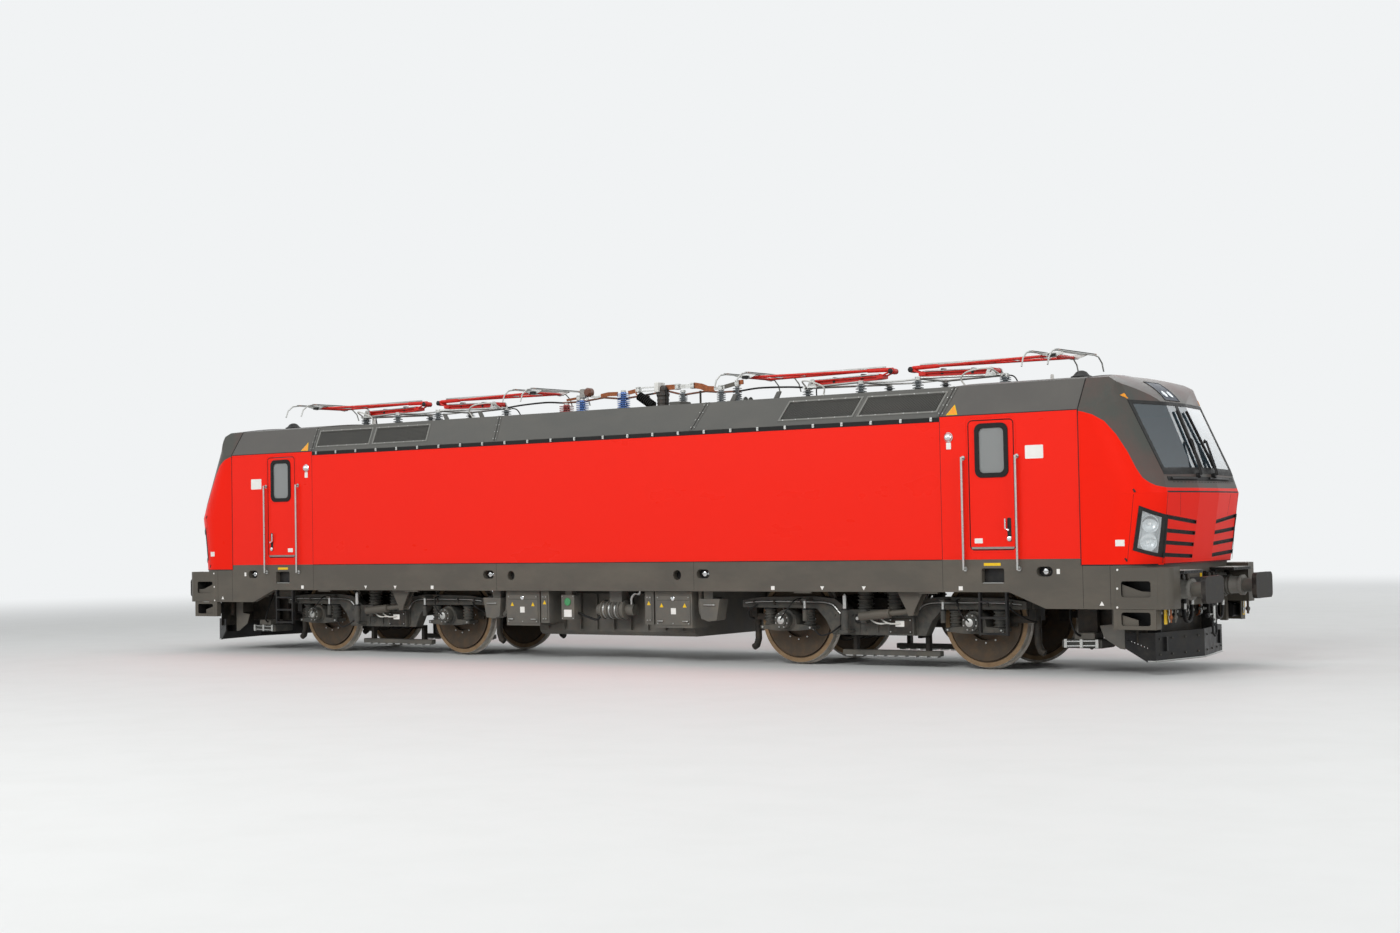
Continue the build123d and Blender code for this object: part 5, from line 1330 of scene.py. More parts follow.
@dataclass
class RoofFittings(Assembly):
    """Hoods and cab roofs: intake grilles, joint covers, bolts, yellow plates, lugs, antennas."""

    intakes: tuple = ((3.45, 4.625), (4.74, 5.945))
    height: float = 0.30
    joints: tuple = (1.9, 5.985)

    def lugs(self) -> None:
        """Lifting lugs that lean on the edge of the crown."""
        for x in (2.38, 3.14):
            lug = np.array([(x, 3.775), (x + 0.085, 3.775), (x + 0.135, 3.872), (x + 0.11, 3.882),
                (x + 0.06, 3.872)])
            self.slab(side_face(-1.205), lug, -0.03, 0.0, ROOF_GREY, 0.004)

    def grilles(self) -> None:
        """Frame and upright blades of each intake, drawn on the cheek."""
        middle, half = 0.5, self.height / 2 / 0.4915
        for x0, x1 in self.intakes:
            shift = -0.27 * 0.204
            corners = [(x0 + shift, middle - half), (x1 + shift, middle - half), (x1 + shift, middle + half),
                (x0 + shift, middle + half)]
            loop = looped(corners, 0.2)
            centre = np.array([(x0 + x1) / 2 + shift, middle])
            outer = centre + (loop - centre) * (1 + np.array([0.056 / (x1 - x0), 0.05 / half]))
            rings = [near_cheek(*edge.T, out) for edge, out in (
                (loop, -0.02), (outer, -0.002), (outer, 0.008), (loop, 0.008))]
            self.rings(np.array(rings), EDGE_GREY, wrap=True)
            self.patch(near_cheek, corners, -0.0262, -0.0245, BLACK_PAINT, (2, 2))
            for x in np.arange(x0 + 0.012, x1 - 0.006, 0.024) + shift:
                path = np.array([(x, middle - half + 0.01), (x, middle + half - 0.01)])
                self.strip(near_cheek, path, 0.0045, -0.024, -0.006, ROOF_GREY)
            for share in (middle - half - 0.022, middle + half + 0.022):
                for x in np.linspace(x0 + 0.05, x1 - 0.05, 6) + shift:
                    centre = near_cheek(np.array(x), np.array(share), 0.006)
                    self.cap(tuple(centre), CHEEK_OUT, (0.009, 0.005), (0.005, 0.007), STEEL, 8)

    def seams(self) -> None:
        """Cover strips beside each hood joint, and the seal over the cab seam."""
        share = np.linspace(0, 1, 5)
        for x in self.joints:
            for dx, half, finish in ((-0.026, 0.016, ROOF_GREY), (0.030, 0.016, ROOF_GREY),
                    (0.002, 0.004, RUBBER)):
                path = np.stack([np.full(5, x + dx), share], 1)
                self.strip(near_cheek, path, half, -0.006, 0.006 if finish is ROOF_GREY else 0.001, finish)
            for dx in (-0.026, 0.030):
                for at in (0.1, 0.37, 0.63, 0.9):
                    centre = near_cheek(np.array(x + dx), np.array(at), 0.005)
                    self.cap(tuple(centre), CHEEK_OUT, (0.008, 0.005), (0.004, 0.007), STEEL, 8)
        y = np.linspace(-1.232, 0, 14)
        top = 3.78 + 0.09 * (1 - (y / 1.232) ** 2)
        path = np.concatenate([[(SEAM_X, WALL_Y, 3.30), (SEAM_X, WALL_Y, 3.372)],
            np.stack([np.full(14, SEAM_X), y, top], 1)])
        self.tube(path, 0.007, RUBBER, 8)

    def plates(self) -> None:
        """Blank yellow triangle low on the cab roof."""
        triangle = [(-0.085, 0.03), (0.085, 0.03), (0.0, 0.38)]
        # The cheek's own lean is taken out, so that the triangle stands upright
        corners = np.array([(6.17 + a - 0.110 * b, b) for a, b in triangle])
        front = near_cheek(*corners.T, 0.0035)
        back = near_cheek(*corners.T, -0.001)
        self.rings(np.array([back, front]), YELLOW_PLATE)
        small = np.array([(6.17 + 0.80 * a - 0.110 * b, 0.055 + 0.80 * (b - 0.03)) for a, b in triangle])
        self.rings(np.array([near_cheek(*small.T, 0.003), near_cheek(*small.T, 0.0042)]), AMBER)

    def antennas(self) -> None:
        """Low domed antenna by the seam and a short mast antenna, drawn at cab 2."""
        self.turned([(0, 0), (0, 0.14), (0.012, 0.14), (0.024, 0.11), (0.07, 0.07), (0.088, 0.03), (0.09, 0)],
            (7.56, -0.45, 3.856), UP, BLACK_PAINT, 32)
        self.turned([(0, 0), (0, 0.06), (0.015, 0.06), (0.02, 0.03), (0.16, 0.022), (0.165, 0)],
            (6.62, 0.62, 3.845), UP, WHITE_PLATE, 24)

    def build(self) -> None:
        """Makes the pieces of the hoods and of the cab roofs."""
        hood = self.drawn(self.grilles, self.seams, self.plates, self.lugs)
        at_corners(hood).piece("roof_side_fittings")
        at_ends(self.drawn(self.antennas)).piece("cab_roof_fittings")


def arc(*points: tuple, steps: int = 8) -> np.ndarray:
    """Smooth path through points in space.

    Args:
        points: where it passes.
        steps: points on each stretch.

    Returns:
        The path: on each stretch the cubic whose slope at each point is half the step
        between its neighbours.
    """
    p = np.asarray(points, float)
    slope = np.gradient(p, axis=0)
    t = np.linspace(0, 1, steps, endpoint=False)[:, None]
    path = [
        (2 * t ** 3 - 3 * t ** 2 + 1) * p[k] + (t ** 3 - 2 * t ** 2 + t) * slope[k]
        + (3 * t ** 2 - 2 * t ** 3) * p[k + 1] + (t ** 3 - t ** 2) * slope[k + 1]
        for k in range(len(p) - 1)
    ]
    return np.concatenate([*path, p[-1:]])


@dataclass
class Pantographs:
    """Dress of the four pantographs: carbon strips, tubes, bellows, leads and links of the frames."""

    seats: tuple = ((1, -6.05, -1), (2, -3.12, 1), (3, 3.12, -1), (4, 6.05, 1))
    pivot_z: float = 4.062
    knee_z: float = 4.153
    apex_z: float = 4.190
    lower: float = 1.30
    upper: float = 2.34

    def lower_arm(self, number: int, pivot: float, way: int) -> None:
        """Guide tubes, clamps and the knee's cover on a lower arm.

        Args:
            number: number of the pantograph.
            pivot: where its lower arm turns, along the body.
            way: 1 where its knee points to cab 1, -1 to cab 2.
        """
        shape, knee = Shape(), pivot - way * self.lower
        for side in SIDES:
            foot = (pivot - way * 0.06, side * 0.078, self.pivot_z + 0.034)
            shape.bar(foot, (knee + way * 0.20, side * 0.064, self.knee_z - 0.036), 0.0095, STEEL)
        for share in (0.25, 0.62):
            x = pivot - way * self.lower * share
            z = self.pivot_z + 0.004 + share * 0.052
            shape.block(about(x, 0.02), (-0.05, 0.05), (z - 0.040, z + 0.044), BLACK_PAINT)
        for side in SIDES:
            shape.cap((knee, side * 0.0775, self.knee_z), (0, side, 0), (0.040, 0.008), (0.03, 0.012),
                BLACK_PAINT, 20)
        shape.piece(f"lower_arm_fittings_{number}", Body.LOWER.named(number))

    def upper_arm(self, number: int, pivot: float, way: int) -> None:
        """Bright top tube, cross stays and cable of an upper arm.

        Args:
            number: number of the pantograph.
            pivot: where its lower arm turns, along the body.
            way: 1 where its knee points to cab 1, -1 to cab 2.
        """
        shape, knee = Shape(), pivot - way * self.lower
        apex = knee + way * self.upper
        shape.bar((knee + way * 0.12, 0, self.knee_z + 0.066), (apex - way * 0.10, 0, self.apex_z + 0.018),
            0.017, STEEL)
        for x, half in ((0.55, 0.035), (1.0, 0.10), (1.6, 0.185), (2.05, 0.25)):
            z = self.knee_z + 0.031 + (x - 0.38) / 1.96 * 0.006
            shape.bar((knee + way * x, -half, z), (knee + way * x, half, z), 0.008, STEEL, 8)
            shape.bar((knee + way * x, 0, z), (knee + way * x, 0, z + 0.034), 0.006, STEEL, 6)
        for side in SIDES:
            start = (knee + way * 0.42, side * 0.03, self.knee_z + 0.050)
            shape.bar(start, (apex - way * 0.10, side * 0.272, self.apex_z + 0.019), 0.004, WHITE_CABLE, 6)
        shape.piece(f"upper_arm_fittings_{number}", Body.UPPER.named(number))

    def head(self, number: int, pivot: float, way: int) -> None:
        """Carbon strips with end shoes, spring boxes of a collector head.

        Args:
            number: number of the pantograph.
            pivot: where its lower arm turns, along the body.
            way: 1 where its knee points to cab 1, -1 to cab 2.
        """
        shape, apex = Shape(), pivot - way * self.lower + way * self.upper
        for end in ENDS:
            x = apex + end * 0.19
            shape.block(about(x, 0.0288), (-0.53, 0.53), (4.2335, 4.2484), CARBON, 0.003)
            for side in SIDES:
                shape.block(about(x, 0.0288), (side * 0.535, side * 0.600), (4.2335, 4.2484), COPPER, 0.003)
        for side in SIDES:
            shape.block(about(apex, 0.05), (side * 0.341, side * 0.372), (4.168, 4.212), BLACK_PAINT)
        shape.piece(f"collector_head_fittings_{number}", Body.HEAD.named(number))

    def frames(self) -> None:
        """Bellows, white leads, air pipes and the links between neighbouring frames."""
        shape = Shape()
        for _, pivot, way in self.seats:
            shape.turned([(0, 0), (0, 0.054), (0.004, 0.058), (0.009, 0.052), (0.0135, 0.058), (0.017, 0.052),
                (0.0215, 0.054), (0.0225, 0.03), (0.0225, 0)], (pivot - way * 0.1, 0, 3.998), UP, RUBBER, 24)
            shape.tube(arc((pivot + way * 0.12, -0.13, 4.012), (pivot + way * 0.06, -0.30, 4.075),
                (pivot - way * 0.18, -0.42, 4.045), (pivot - way * 0.34, -0.36, 3.96),
                (pivot - way * 0.30, -0.30, 3.845)), 0.012, WHITE_CABLE, 10)
            shape.turned([(0, 0), (0, 0.035), (0.018, 0.03), (0.018, 0)], (pivot - way * 0.30, -0.30, 3.838),
                UP, ALUMINIUM, 16)
            shape.tube(arc((pivot + way * 0.05, 0.13, 4.006), (pivot + way * 0.16, 0.24, 3.99),
                (pivot + way * 0.20, 0.30, 3.90), (pivot + way * 0.20, 0.30, 3.84)), 0.010, HOSE, 8)
            for dx, dy in ((0.16, 0.0), (-1.0, -0.4), (-1.0, 0.4)):
                shape.turned([(0, 0), (0, 0.062), (0.006, 0.062), (0.010, 0.05), (0.012, 0.044), (0.012, 0)],
                    (pivot + way * dx, dy, 3.9655), UP, STEEL, 20)
            for side in SIDES:
                shape.bolt((pivot, side * 0.1455, self.pivot_z), (0, side, 0), 0.020, STEEL)
        for end in ENDS:
            for y in (-0.25, 0.25):
                shape.tube(arc((end * 5.05, y, 3.999), (end * 4.6, y, 3.985), (end * 4.12, y, 3.999)), 0.013,
                    ALUMINIUM, 10)
            shape.tube(arc((end * 1.74, 0, 4.02), (end * 2.1, 0, 4.045), (end * 2.6, 0, 4.03),
                (end * 2.96, 0, 4.002)), 0.014, BLACK_PAINT, 12)
        shape.piece("pantograph_frame_fittings")

    def build(self) -> None:
        """Makes the pieces of every arm and head, then those of the frames."""
        for seat in self.seats:
            self.lower_arm(*seat)
            self.upper_arm(*seat)
            self.head(*seat)
        self.frames()


@dataclass
class RoofLine(Assembly):
    """Fittings of the high-voltage line: sheds, flanges, bolted straps, arrester, breaker, horns."""

    stacks: tuple = (  # place along, radius of the sheds, top
        (-1.67, 0.120, 3.985), (-1.34, 0.104, 4.04), (-0.5, 0.106, 4.125), (0.67, 0.072, 4.06),
        (1.39, 0.072, 4.05), (1.69, 0.072, 4.09),
    )
    clamps: tuple = ((-1.40, 4.08), (-0.20, 4.145), (0.57, 4.15), (0.86, 4.15), (1.39, 4.085), (1.70, 4.145))
    seats: tuple = ((-6.05, -1), (-3.12, 1), (3.12, -1), (6.05, 1))
    feet: tuple = ((0.16, 0.0), (-1.0, -0.4), (-1.0, 0.4))
    straps: tuple = (  # points along and up, half height, finish
        (((-1.66, 4.06), (-1.44, 4.08)), 0.018, COPPER),
        (((-1.18, 4.10), (-1.05, 4.07), (-0.95, 4.09)), 0.018, STEEL),
        (((-0.95, 4.09), (-0.80, 4.11), (-0.62, 4.105)), 0.032, COPPER),
        (((-0.40, 4.11), (-0.20, 4.14)), 0.030, COPPER),
        (((-0.20, 4.172), (0.24, 4.172)), 0.010, STEEL), (((-0.20, 4.118), (0.24, 4.118)), 0.010, STEEL),
        (((0.33, 4.15), (0.57, 4.15)), 0.040, COPPER), (((0.57, 4.15), (0.88, 4.15)), 0.030, ALUMINIUM),
        (((0.88, 4.155), (1.02, 4.13), (1.14, 4.085), (1.26, 4.075)), 0.045, COPPER),
        (((1.26, 4.085), (1.46, 4.09)), 0.020, ALUMINIUM), (((1.46, 4.10), (1.68, 4.14)), 0.030, CASE_GREY),
        (((1.72, 4.15), (1.80, 4.155)), 0.034, COPPER),
    )

    def sheds(self, x: float, y: float, foot: float, top: float, radius: float, count: int) -> None:
        """Glazed sheds of one stack, evenly spaced from its foot to its top."""
        for z in np.linspace(foot, top, count + 2)[1:-1]:
            self.turned([(-0.006, 0.030), (-0.006, radius - 0.004), (-0.003, radius), (0.003, radius),
                (0.006, radius - 0.004), (0.013, 0.036)], (x, y, z), UP, GLAZE, 28)

    def insulators(self) -> None:
        """Sheds, foot flanges and clamps of the line's stacks, and the sheds under the frames."""
        for x, radius, top in self.stacks:
            self.sheds(x, 0, 3.818, top, radius, round((top - 3.818) / 0.033))
            self.turned([(3.83, 0), (3.83, 0.48 * radius), (top, 0.44 * radius), (top, 0)], (x, 0, 0), UP,
                GLAZE, 20)
            self.cap((x, 0, top - 0.002), UP, (0.042, 0.028), (0.03, 0.034), ALUMINIUM, 20)
            self.turned([(0, 0), (0, 0.075), (0.010, 0.075), (0.014, 0.062), (0.018, 0.055), (0.018, 0)],
                (x, 0, 3.8185), UP, ALUMINIUM, 24)
        for pivot, way in self.seats:
            for dx, y in self.feet:
                x = pivot + way * dx
                self.sheds(x, y, 3.873 if abs(x) > 6.085 else 3.818, 3.976, 0.082, 3)

    def line(self) -> None:
        """Flat straps between the stacks with bolted clamps, and the arrester beside the breaker."""
        for points, half, finish in self.straps:
            self.strip(lambda u, v, out: np.stack([u, 0 * u - out, v], -1), along(points, 0.04), half, -0.012,
                0.012, finish)
        for x, z in self.clamps:
            self.block(about(x, 0.035), (-0.034, 0.034), about(z, 0.045), ALUMINIUM, 0.006)
            for dx in (-0.018, 0.018):
                for dz in (-0.024, 0.024):
                    self.bolt((x + dx, -0.034, z + dz), NEAR, 0.009, STEEL)
        self.turned([(0, 0), (0, 0.050), (0.03, 0.074), (0.11, 0.074), (0.14, 0.050), (0.14, 0)],
            (-1.20, -0.07, 4.16), (0, 1, 0), BROWN_GLAZE, 28)
        self.block((-1.36, -1.25), (-0.04, 0.04), (4.07, 4.22), TREAD, 0.012)
        self.bar((-1.24, 0, 4.03), (-1.24, 0, 4.12), 0.022, ALUMINIUM)
        self.bar((1.30, -0.42, 3.80), (1.30, -0.42, 4.03), 0.016, GEAR_DARK)
        self.block((0.213, 0.287), (-0.04, 0.04), (4.185, 4.232), WHITE_PLATE, 0.006)
        self.block((0.213, 0.287), (-0.135, -0.03), (4.08, 4.232), WHITE_PLATE, 0.006)
        self.tube(arc((0.40, -0.06, 3.84), (0.41, -0.06, 3.97), (0.38, -0.05, 4.10), (0.36, 0, 4.14)), 0.014,
            HOSE, 10)
        start, end = np.array((0.15, -0.04, 3.855)), np.array((-0.18, -0.04, 4.06))
        length = float(np.linalg.norm(end - start))
        profile = [(0, 0), (0, 0.030)]
        for z in np.linspace(0.05, length - 0.04, 9):
            profile += [(z - 0.013, 0.030), (z - 0.005, 0.072), (z + 0.005, 0.072), (z + 0.013, 0.030)]
        self.turned([*profile, (length, 0.022), (length, 0)], tuple(start), tuple(end - start), HOSE, 24)
        self.block((0.10, 0.20), (-0.09, 0.01), (3.80, 3.87), CASE_GREY, 0.006)
        self.tube(arc((-0.18, -0.04, 4.05), (-0.22, -0.04, 4.09), (-0.20, -0.01, 4.13)), 0.012, COPPER, 8)

    def breaker(self) -> None:
        """Rings, foot and bolts of the breaker, boxes on the roof, and the two horns."""
        for z in (3.90, 3.955, 4.01, 4.10):
            self.turned([(0, 0.088), (0, 0.099), (0.012, 0.099), (0.012, 0.088)], (0.28, 0, z), UP,
                GEAR_DARK, 32)
        self.cap((0.28, 0, 3.8295), UP, (0.15, 0.014), (0.135, 0.018), ALUMINIUM)
        for turn in np.arange(8) * math.pi / 4:
            self.bolt((0.28 + 0.135 * math.cos(turn), 0.135 * math.sin(turn), 3.8475), UP, 0.010, STEEL)
        self.block((0.86, 1.06), (-0.62, -0.34), (3.805, 3.875), ROOF_GREY, 0.008)
        self.block((-2.55, -2.30), (0.30, 0.62), (3.80, 3.865), ROOF_GREY, 0.008)
        for y in (0.50, 0.64):
            self.turned([(0, 0), (0, 0.022), (0.06, 0.024), (0.20, 0.030), (0.30, 0.046), (0.34, 0.066),
                (0.35, 0.068), (0.345, 0.058), (0.31, 0.040), (0.30, 0)], (1.15, y, 3.90), AHEAD, STEEL)
            self.block((1.20, 1.28), about(y, 0.02), (3.80, 3.885), BLACK_PAINT)

    def build(self) -> None:
        """Makes the piece of the whole line."""
        self.drawn(self.insulators, self.line, self.breaker).piece("roof_line_fittings")


@dataclass
class Bogies(Assembly):
    """Dress of the bogies: axle-box bolts and cables, damper rods, pipes, plates, track brakes."""

    axles: tuple = (-AXLE_DX, AXLE_DX)
    spring_dx: float = 0.33

    def boxes(self) -> None:
        """Bolts, caps and sensor cables of the axle boxes."""
        for x in self.axles:
            for turn in (np.arange(8) + 0.5) * math.pi / 4:
                place = (x + 0.101 * math.cos(turn), -1.270, AXLE_Z + 0.101 * math.sin(turn))
                self.bolt(place, NEAR, 0.012, STEEL)
            self.cap((x, -1.2915, AXLE_Z), NEAR, (0.055, 0.006), (0.03, 0.012), ALUMINIUM, 24)
            side = 1 if x > 0 else -1
            self.tube(arc((x, -1.30, AXLE_Z + 0.01), (x - side * 0.10, -1.33, 0.74),
                (x - side * 0.20, -1.25, 0.90), (x - side * 0.24, -1.13, 0.93)), 0.010, HOSE, 8)
            for dx in (-self.spring_dx, self.spring_dx):
                for z in (0.543, 0.783):
                    self.turned([(-0.009, 0), (-0.009, 0.096), (0.009, 0.096), (0.009, 0)],
                        (x + dx, -1.04, z), UP, RUBBER, 24)
            for dx in (-0.40, 0.40):
                self.bolt((x + dx, -1.150, 0.522), NEAR, 0.016, STEEL)

    def dampers(self) -> None:
        """Bright rods, sleeves and eyes of the dampers."""
        for x, low, top, radius in ((-1.1, 0.79, 0.904, 0.0215), (1.1, 0.79, 0.904, 0.0215),
                (-0.44, 0.79, 0.984, 0.033)):
            self.bar((x, -1.275, low), (x, -1.275, top), radius, STEEL, 16)
            self.turned([(-0.012, 0), (-0.012, radius * 1.75), (0.006, radius * 1.75), (0.010, radius * 1.4),
                (0.010, 0)], (x, -1.275, low), UP, BLACK_PAINT, 24)
            self.bolt((x, -1.275, top), UP, 0.017, STEEL)

    def pipes(self) -> None:
        """Air pipes along the side beam, with their clips, and loops of cable over the springs."""
        y = -1.138
        for z, radius, finish in ((0.885, 0.010, STEEL), (0.855, 0.008, GEAR_GREY)):
            for side in ENDS:
                self.tube(arc((side * 2.20, y, z - 0.02), (side * 1.9, y, z), (side * 1.2, y, z),
                    (side * 0.78, y, z - 0.02), (side * 0.60, y, z - 0.16)), radius, finish, 8)
        for x in (-2.05, -1.7, -1.25, 1.25, 1.7, 2.05):
            self.block(about(x, 0.015), (-1.152, -1.120), (0.838, 0.902), GEAR_DARK, 0.003)
        for x in (-0.08, 0.10):
            self.tube(arc((x, -1.13, 0.70), (x + 0.02, -1.24, 0.66), (x + 0.16, -1.27, 0.60),
                (x + 0.30, -1.215, 0.60)), 0.011, WHITE_CABLE, 8)
        self.tube(arc((-0.60, -1.13, 0.56), (-0.72, -1.20, 0.46), (-0.90, -1.19, 0.42),
            (-1.06, -1.155, 0.53)), 0.012, HOSE, 8)
        for side in ENDS:
            self.tube(arc((side * 2.0, -1.13, 0.84), (side * 2.12, -1.17, 0.76), (side * 2.22, -1.00, 0.66),
                (side * 2.24, -0.81, 0.62)), 0.012, HOSE, 8)

    def belly(self) -> None:
        """Box on the side beam with its blank plate and bolts; bolts on the beam's stiffeners."""
        self.slab(side_face(-1.2), rounded((0.22, 0.58), (0.46, 0.67), 0.015), -0.001, 0.008, GEAR_DARK,
            0.003)
        self.slab(side_face(-1.208), rounded((0.32, 0.46), (0.555, 0.635), 0.008), -0.001, 0.002, WHITE_PLATE,
            0.001)
        for x in (0.245, 0.555):
            for z in (0.485, 0.645):
                self.bolt((x, -1.208, z), NEAR, 0.010, STEEL)
        for x in np.array([-0.70, -0.52, -0.40, -0.20, 0.0, 0.20]):
            for z in (0.50, 0.70):
                self.bolt((x, -1.125, z), NEAR, 0.013, GEAR_GREY)
        self.block((-0.34, -0.16), (-1.17, -1.12), (0.60, 0.72), BLACK_PAINT, 0.006)
        for x in (-0.30, -0.20):
            self.cap((x, -1.17, 0.66), NEAR, (0.026, 0.02), (0.02, 0.024), ALUMINIUM, 16)

    def track_brake(self) -> None:
        """Bar over the rail between the wheels, on two hangers under the side beam."""
        self.block((-0.78, 0.78), (-0.80, -0.70), (0.130, 0.205), CASE_GREY, 0.008)
        for x in np.linspace(-0.68, 0.68, 9):
            self.block(about(x, 0.055), (-0.795, -0.705), (0.112, 0.135), STEEL, 0.004)
        for x in (-0.58, 0.58):
            self.block(about(x, 0.03), (-0.79, -0.71), (0.20, 0.40), GEAR_DARK)
            self.block(about(x, 0.03), (-1.00, -0.71), (0.39, 0.44), GEAR_DARK)
            self.block(about(x, 0.03), (-1.00, -0.955), (0.39, 0.60), GEAR_DARK)

    def build(self) -> None:
        """Makes the piece of each bogie: its near side, and the same turned half round."""
        side = self.drawn(self.boxes, self.dampers, self.pipes, self.belly, self.track_brake)
        for number, end in ((1, -1), (2, 1)):
            place = (end * PIN_X, 0, 0)
            both = Shape().join(side, place).join(side, place, (-1, -1, 1))
            both.piece(f"bogie_fittings_{number}", Body.BOGIE.named(number))


@dataclass
class WheelBolts:
    """Bolts of the brake discs on the wheel faces."""

    axles: tuple = (-6.25, -3.25, 3.25, 6.25)
    ring: float = 0.290
    count: int = 12

    def build(self) -> None:
        """Makes one piece for each wheelset."""
        for number, x in enumerate(self.axles, 1):
            shape = Shape()
            for side in SIDES:
                for turn in np.arange(self.count) * 2 * math.pi / self.count:
                    place = (x + self.ring * math.cos(turn), side * 0.8265,
                        AXLE_Z + self.ring * math.sin(turn))
                    shape.bolt(place, (0, side, 0), 0.013, STEEL)
            shape.piece(f"wheel_bolts_{number}", Body.WHEELS.named(number))


@dataclass
class Underfloor(Assembly):
    """Cases, sand boxes, compressor and pipes below the sill."""

    cases: tuple = ((1.115, 1.785, 0.50), (0.925, 1.085, 0.545))

    def lids(self) -> None:
        """Lid bolts, dial, blank plates and hinges of the cases."""
        face = side_face(-1.417)
        for x0, x1, low in self.cases:
            for x in np.linspace(x0 + 0.055, x1 - 0.055, 3 if x1 - x0 > 0.3 else 2):
                for z in (low + 0.065, 0.945):
                    self.bolt((x, -1.417, z), NEAR, 0.010, STEEL)
            self.strip(lambda u, v, out: near_side(u, v, out - 0.0895),
                along([(x0 + 0.04, 0.905), (x1 - 0.04, 0.905)], 0.2), 0.002, -0.001, 0.001, RUBBER)
        self.turned([(0, 0), (0, 0.034), (0.010, 0.034), (0.014, 0.028), (0.010, 0.026), (0.010, 0)],
            (1.45, -1.417, 0.93), NEAR, CHROME, 24)
        for x, z in ((1.24, 0.80), (1.66, 0.80), (1.005, 0.83)):
            self.slab(face, np.array([(x - 0.035, z), (x + 0.035, z), (x, z + 0.062)]), -0.001, 0.002,
                YELLOW_PLATE, 0.0008)
        self.slab(face, rectangle((1.41, 1.50), (0.70, 0.79)), -0.001, 0.002, WHITE_PLATE, 0.0008)
        for x in (1.22, 1.68):
            self.tube(arc((x - 0.04, -1.417, 0.60), (x - 0.04, -1.445, 0.60), (x + 0.04, -1.445, 0.60),
                (x + 0.04, -1.417, 0.60), steps=4), 0.007, STEEL, 8)

    def pipes(self) -> None:
        """Bends on the case tops, sand filler and the long pipes with their straps."""
        for x in (1.22, 1.40, 1.60):
            self.tube(arc((x, -1.33, 1.025), (x, -1.33, 1.09), (x + 0.05, -1.33, 1.135),
                (x + 0.13, -1.33, 1.15), (x + 0.13, -1.22, 1.20), (x + 0.13, -1.20, 1.345)), 0.022, STEEL, 10)
        self.tube(arc((1.86, -1.27, 1.345), (1.86, -1.28, 1.0), (1.862, -1.29, 0.80), (1.885, -1.29, 0.70),
            (1.955, -1.29, 0.66)), 0.038, CASE_GREY, 14)
        self.cap((2.16, -1.30, 0.922), UP, (0.07, 0.02), (0.055, 0.028), BLACK_PAINT, 24)
        self.tube(arc((1.99, -1.402, 0.84), (2.02, -1.425, 0.84), (2.17, -1.425, 0.84), (2.20, -1.402, 0.84),
            steps=5), 0.007, STEEL, 8)
        for y, z, radius, finish in ((-1.36, 1.10, 0.017, GEAR_DARK), (-1.31, 1.13, 0.012, STEEL)):
            self.bar((0.0, y, z), (3.45, y, z), radius, finish, 10)
        for x in (0.35, 0.80, 1.86, 2.45, 2.95, 3.40):
            self.block(about(x, 0.012), (-1.38, -1.29), (1.08, 1.346), GEAR_DARK, 0.003)

    def compressor(self) -> None:
        """Bands, pipes and dial box about the compressor on the near side."""
        for x in (0.085, 0.195, 0.305):
            self.turned([(-0.01, 0.131), (-0.01, 0.139), (0.01, 0.139), (0.01, 0.131)], (x, -1.215, 0.75),
                AHEAD, STEEL, 32)
        self.tube(arc((0.53, -1.215, 0.83), (0.54, -1.22, 0.93), (0.60, -1.22, 0.99), (0.70, -1.22, 1.02),
            (0.72, -1.22, 1.345)), 0.024, STEEL, 12)
        self.tube(arc((-0.05, -1.215, 0.67), (-0.12, -1.25, 0.60), (-0.28, -1.27, 0.64),
            (-0.44, -1.29, 0.70)), 0.018, HOSE, 10)
        self.turned([(0, 0), (0, 0.060), (0.012, 0.060), (0.016, 0.052), (0.011, 0.050), (0.011, 0)],
            (-0.565, -1.390, 0.87), NEAR, GREEN_DIAL, 28)
        self.slab(side_face(-1.39), rounded((-0.64, -0.49), (0.64, 0.75), 0.008), -0.001, 0.006, WHITE_PLATE,
            0.002)
        for x in (-0.67, -0.46):
            for z in (0.62, 0.955):
                self.bolt((x, -1.390, z), NEAR, 0.009, STEEL)

    def build(self) -> None:
        """Makes the pieces of the four corners and of the two compressors."""
        at_corners(self.drawn(self.lids, self.pipes)).piece("underfloor_fittings")
        middle = self.drawn(self.compressor)
        Shape().join(middle).join(middle, flip=(-1, -1, 1)).piece("compressor_fittings")


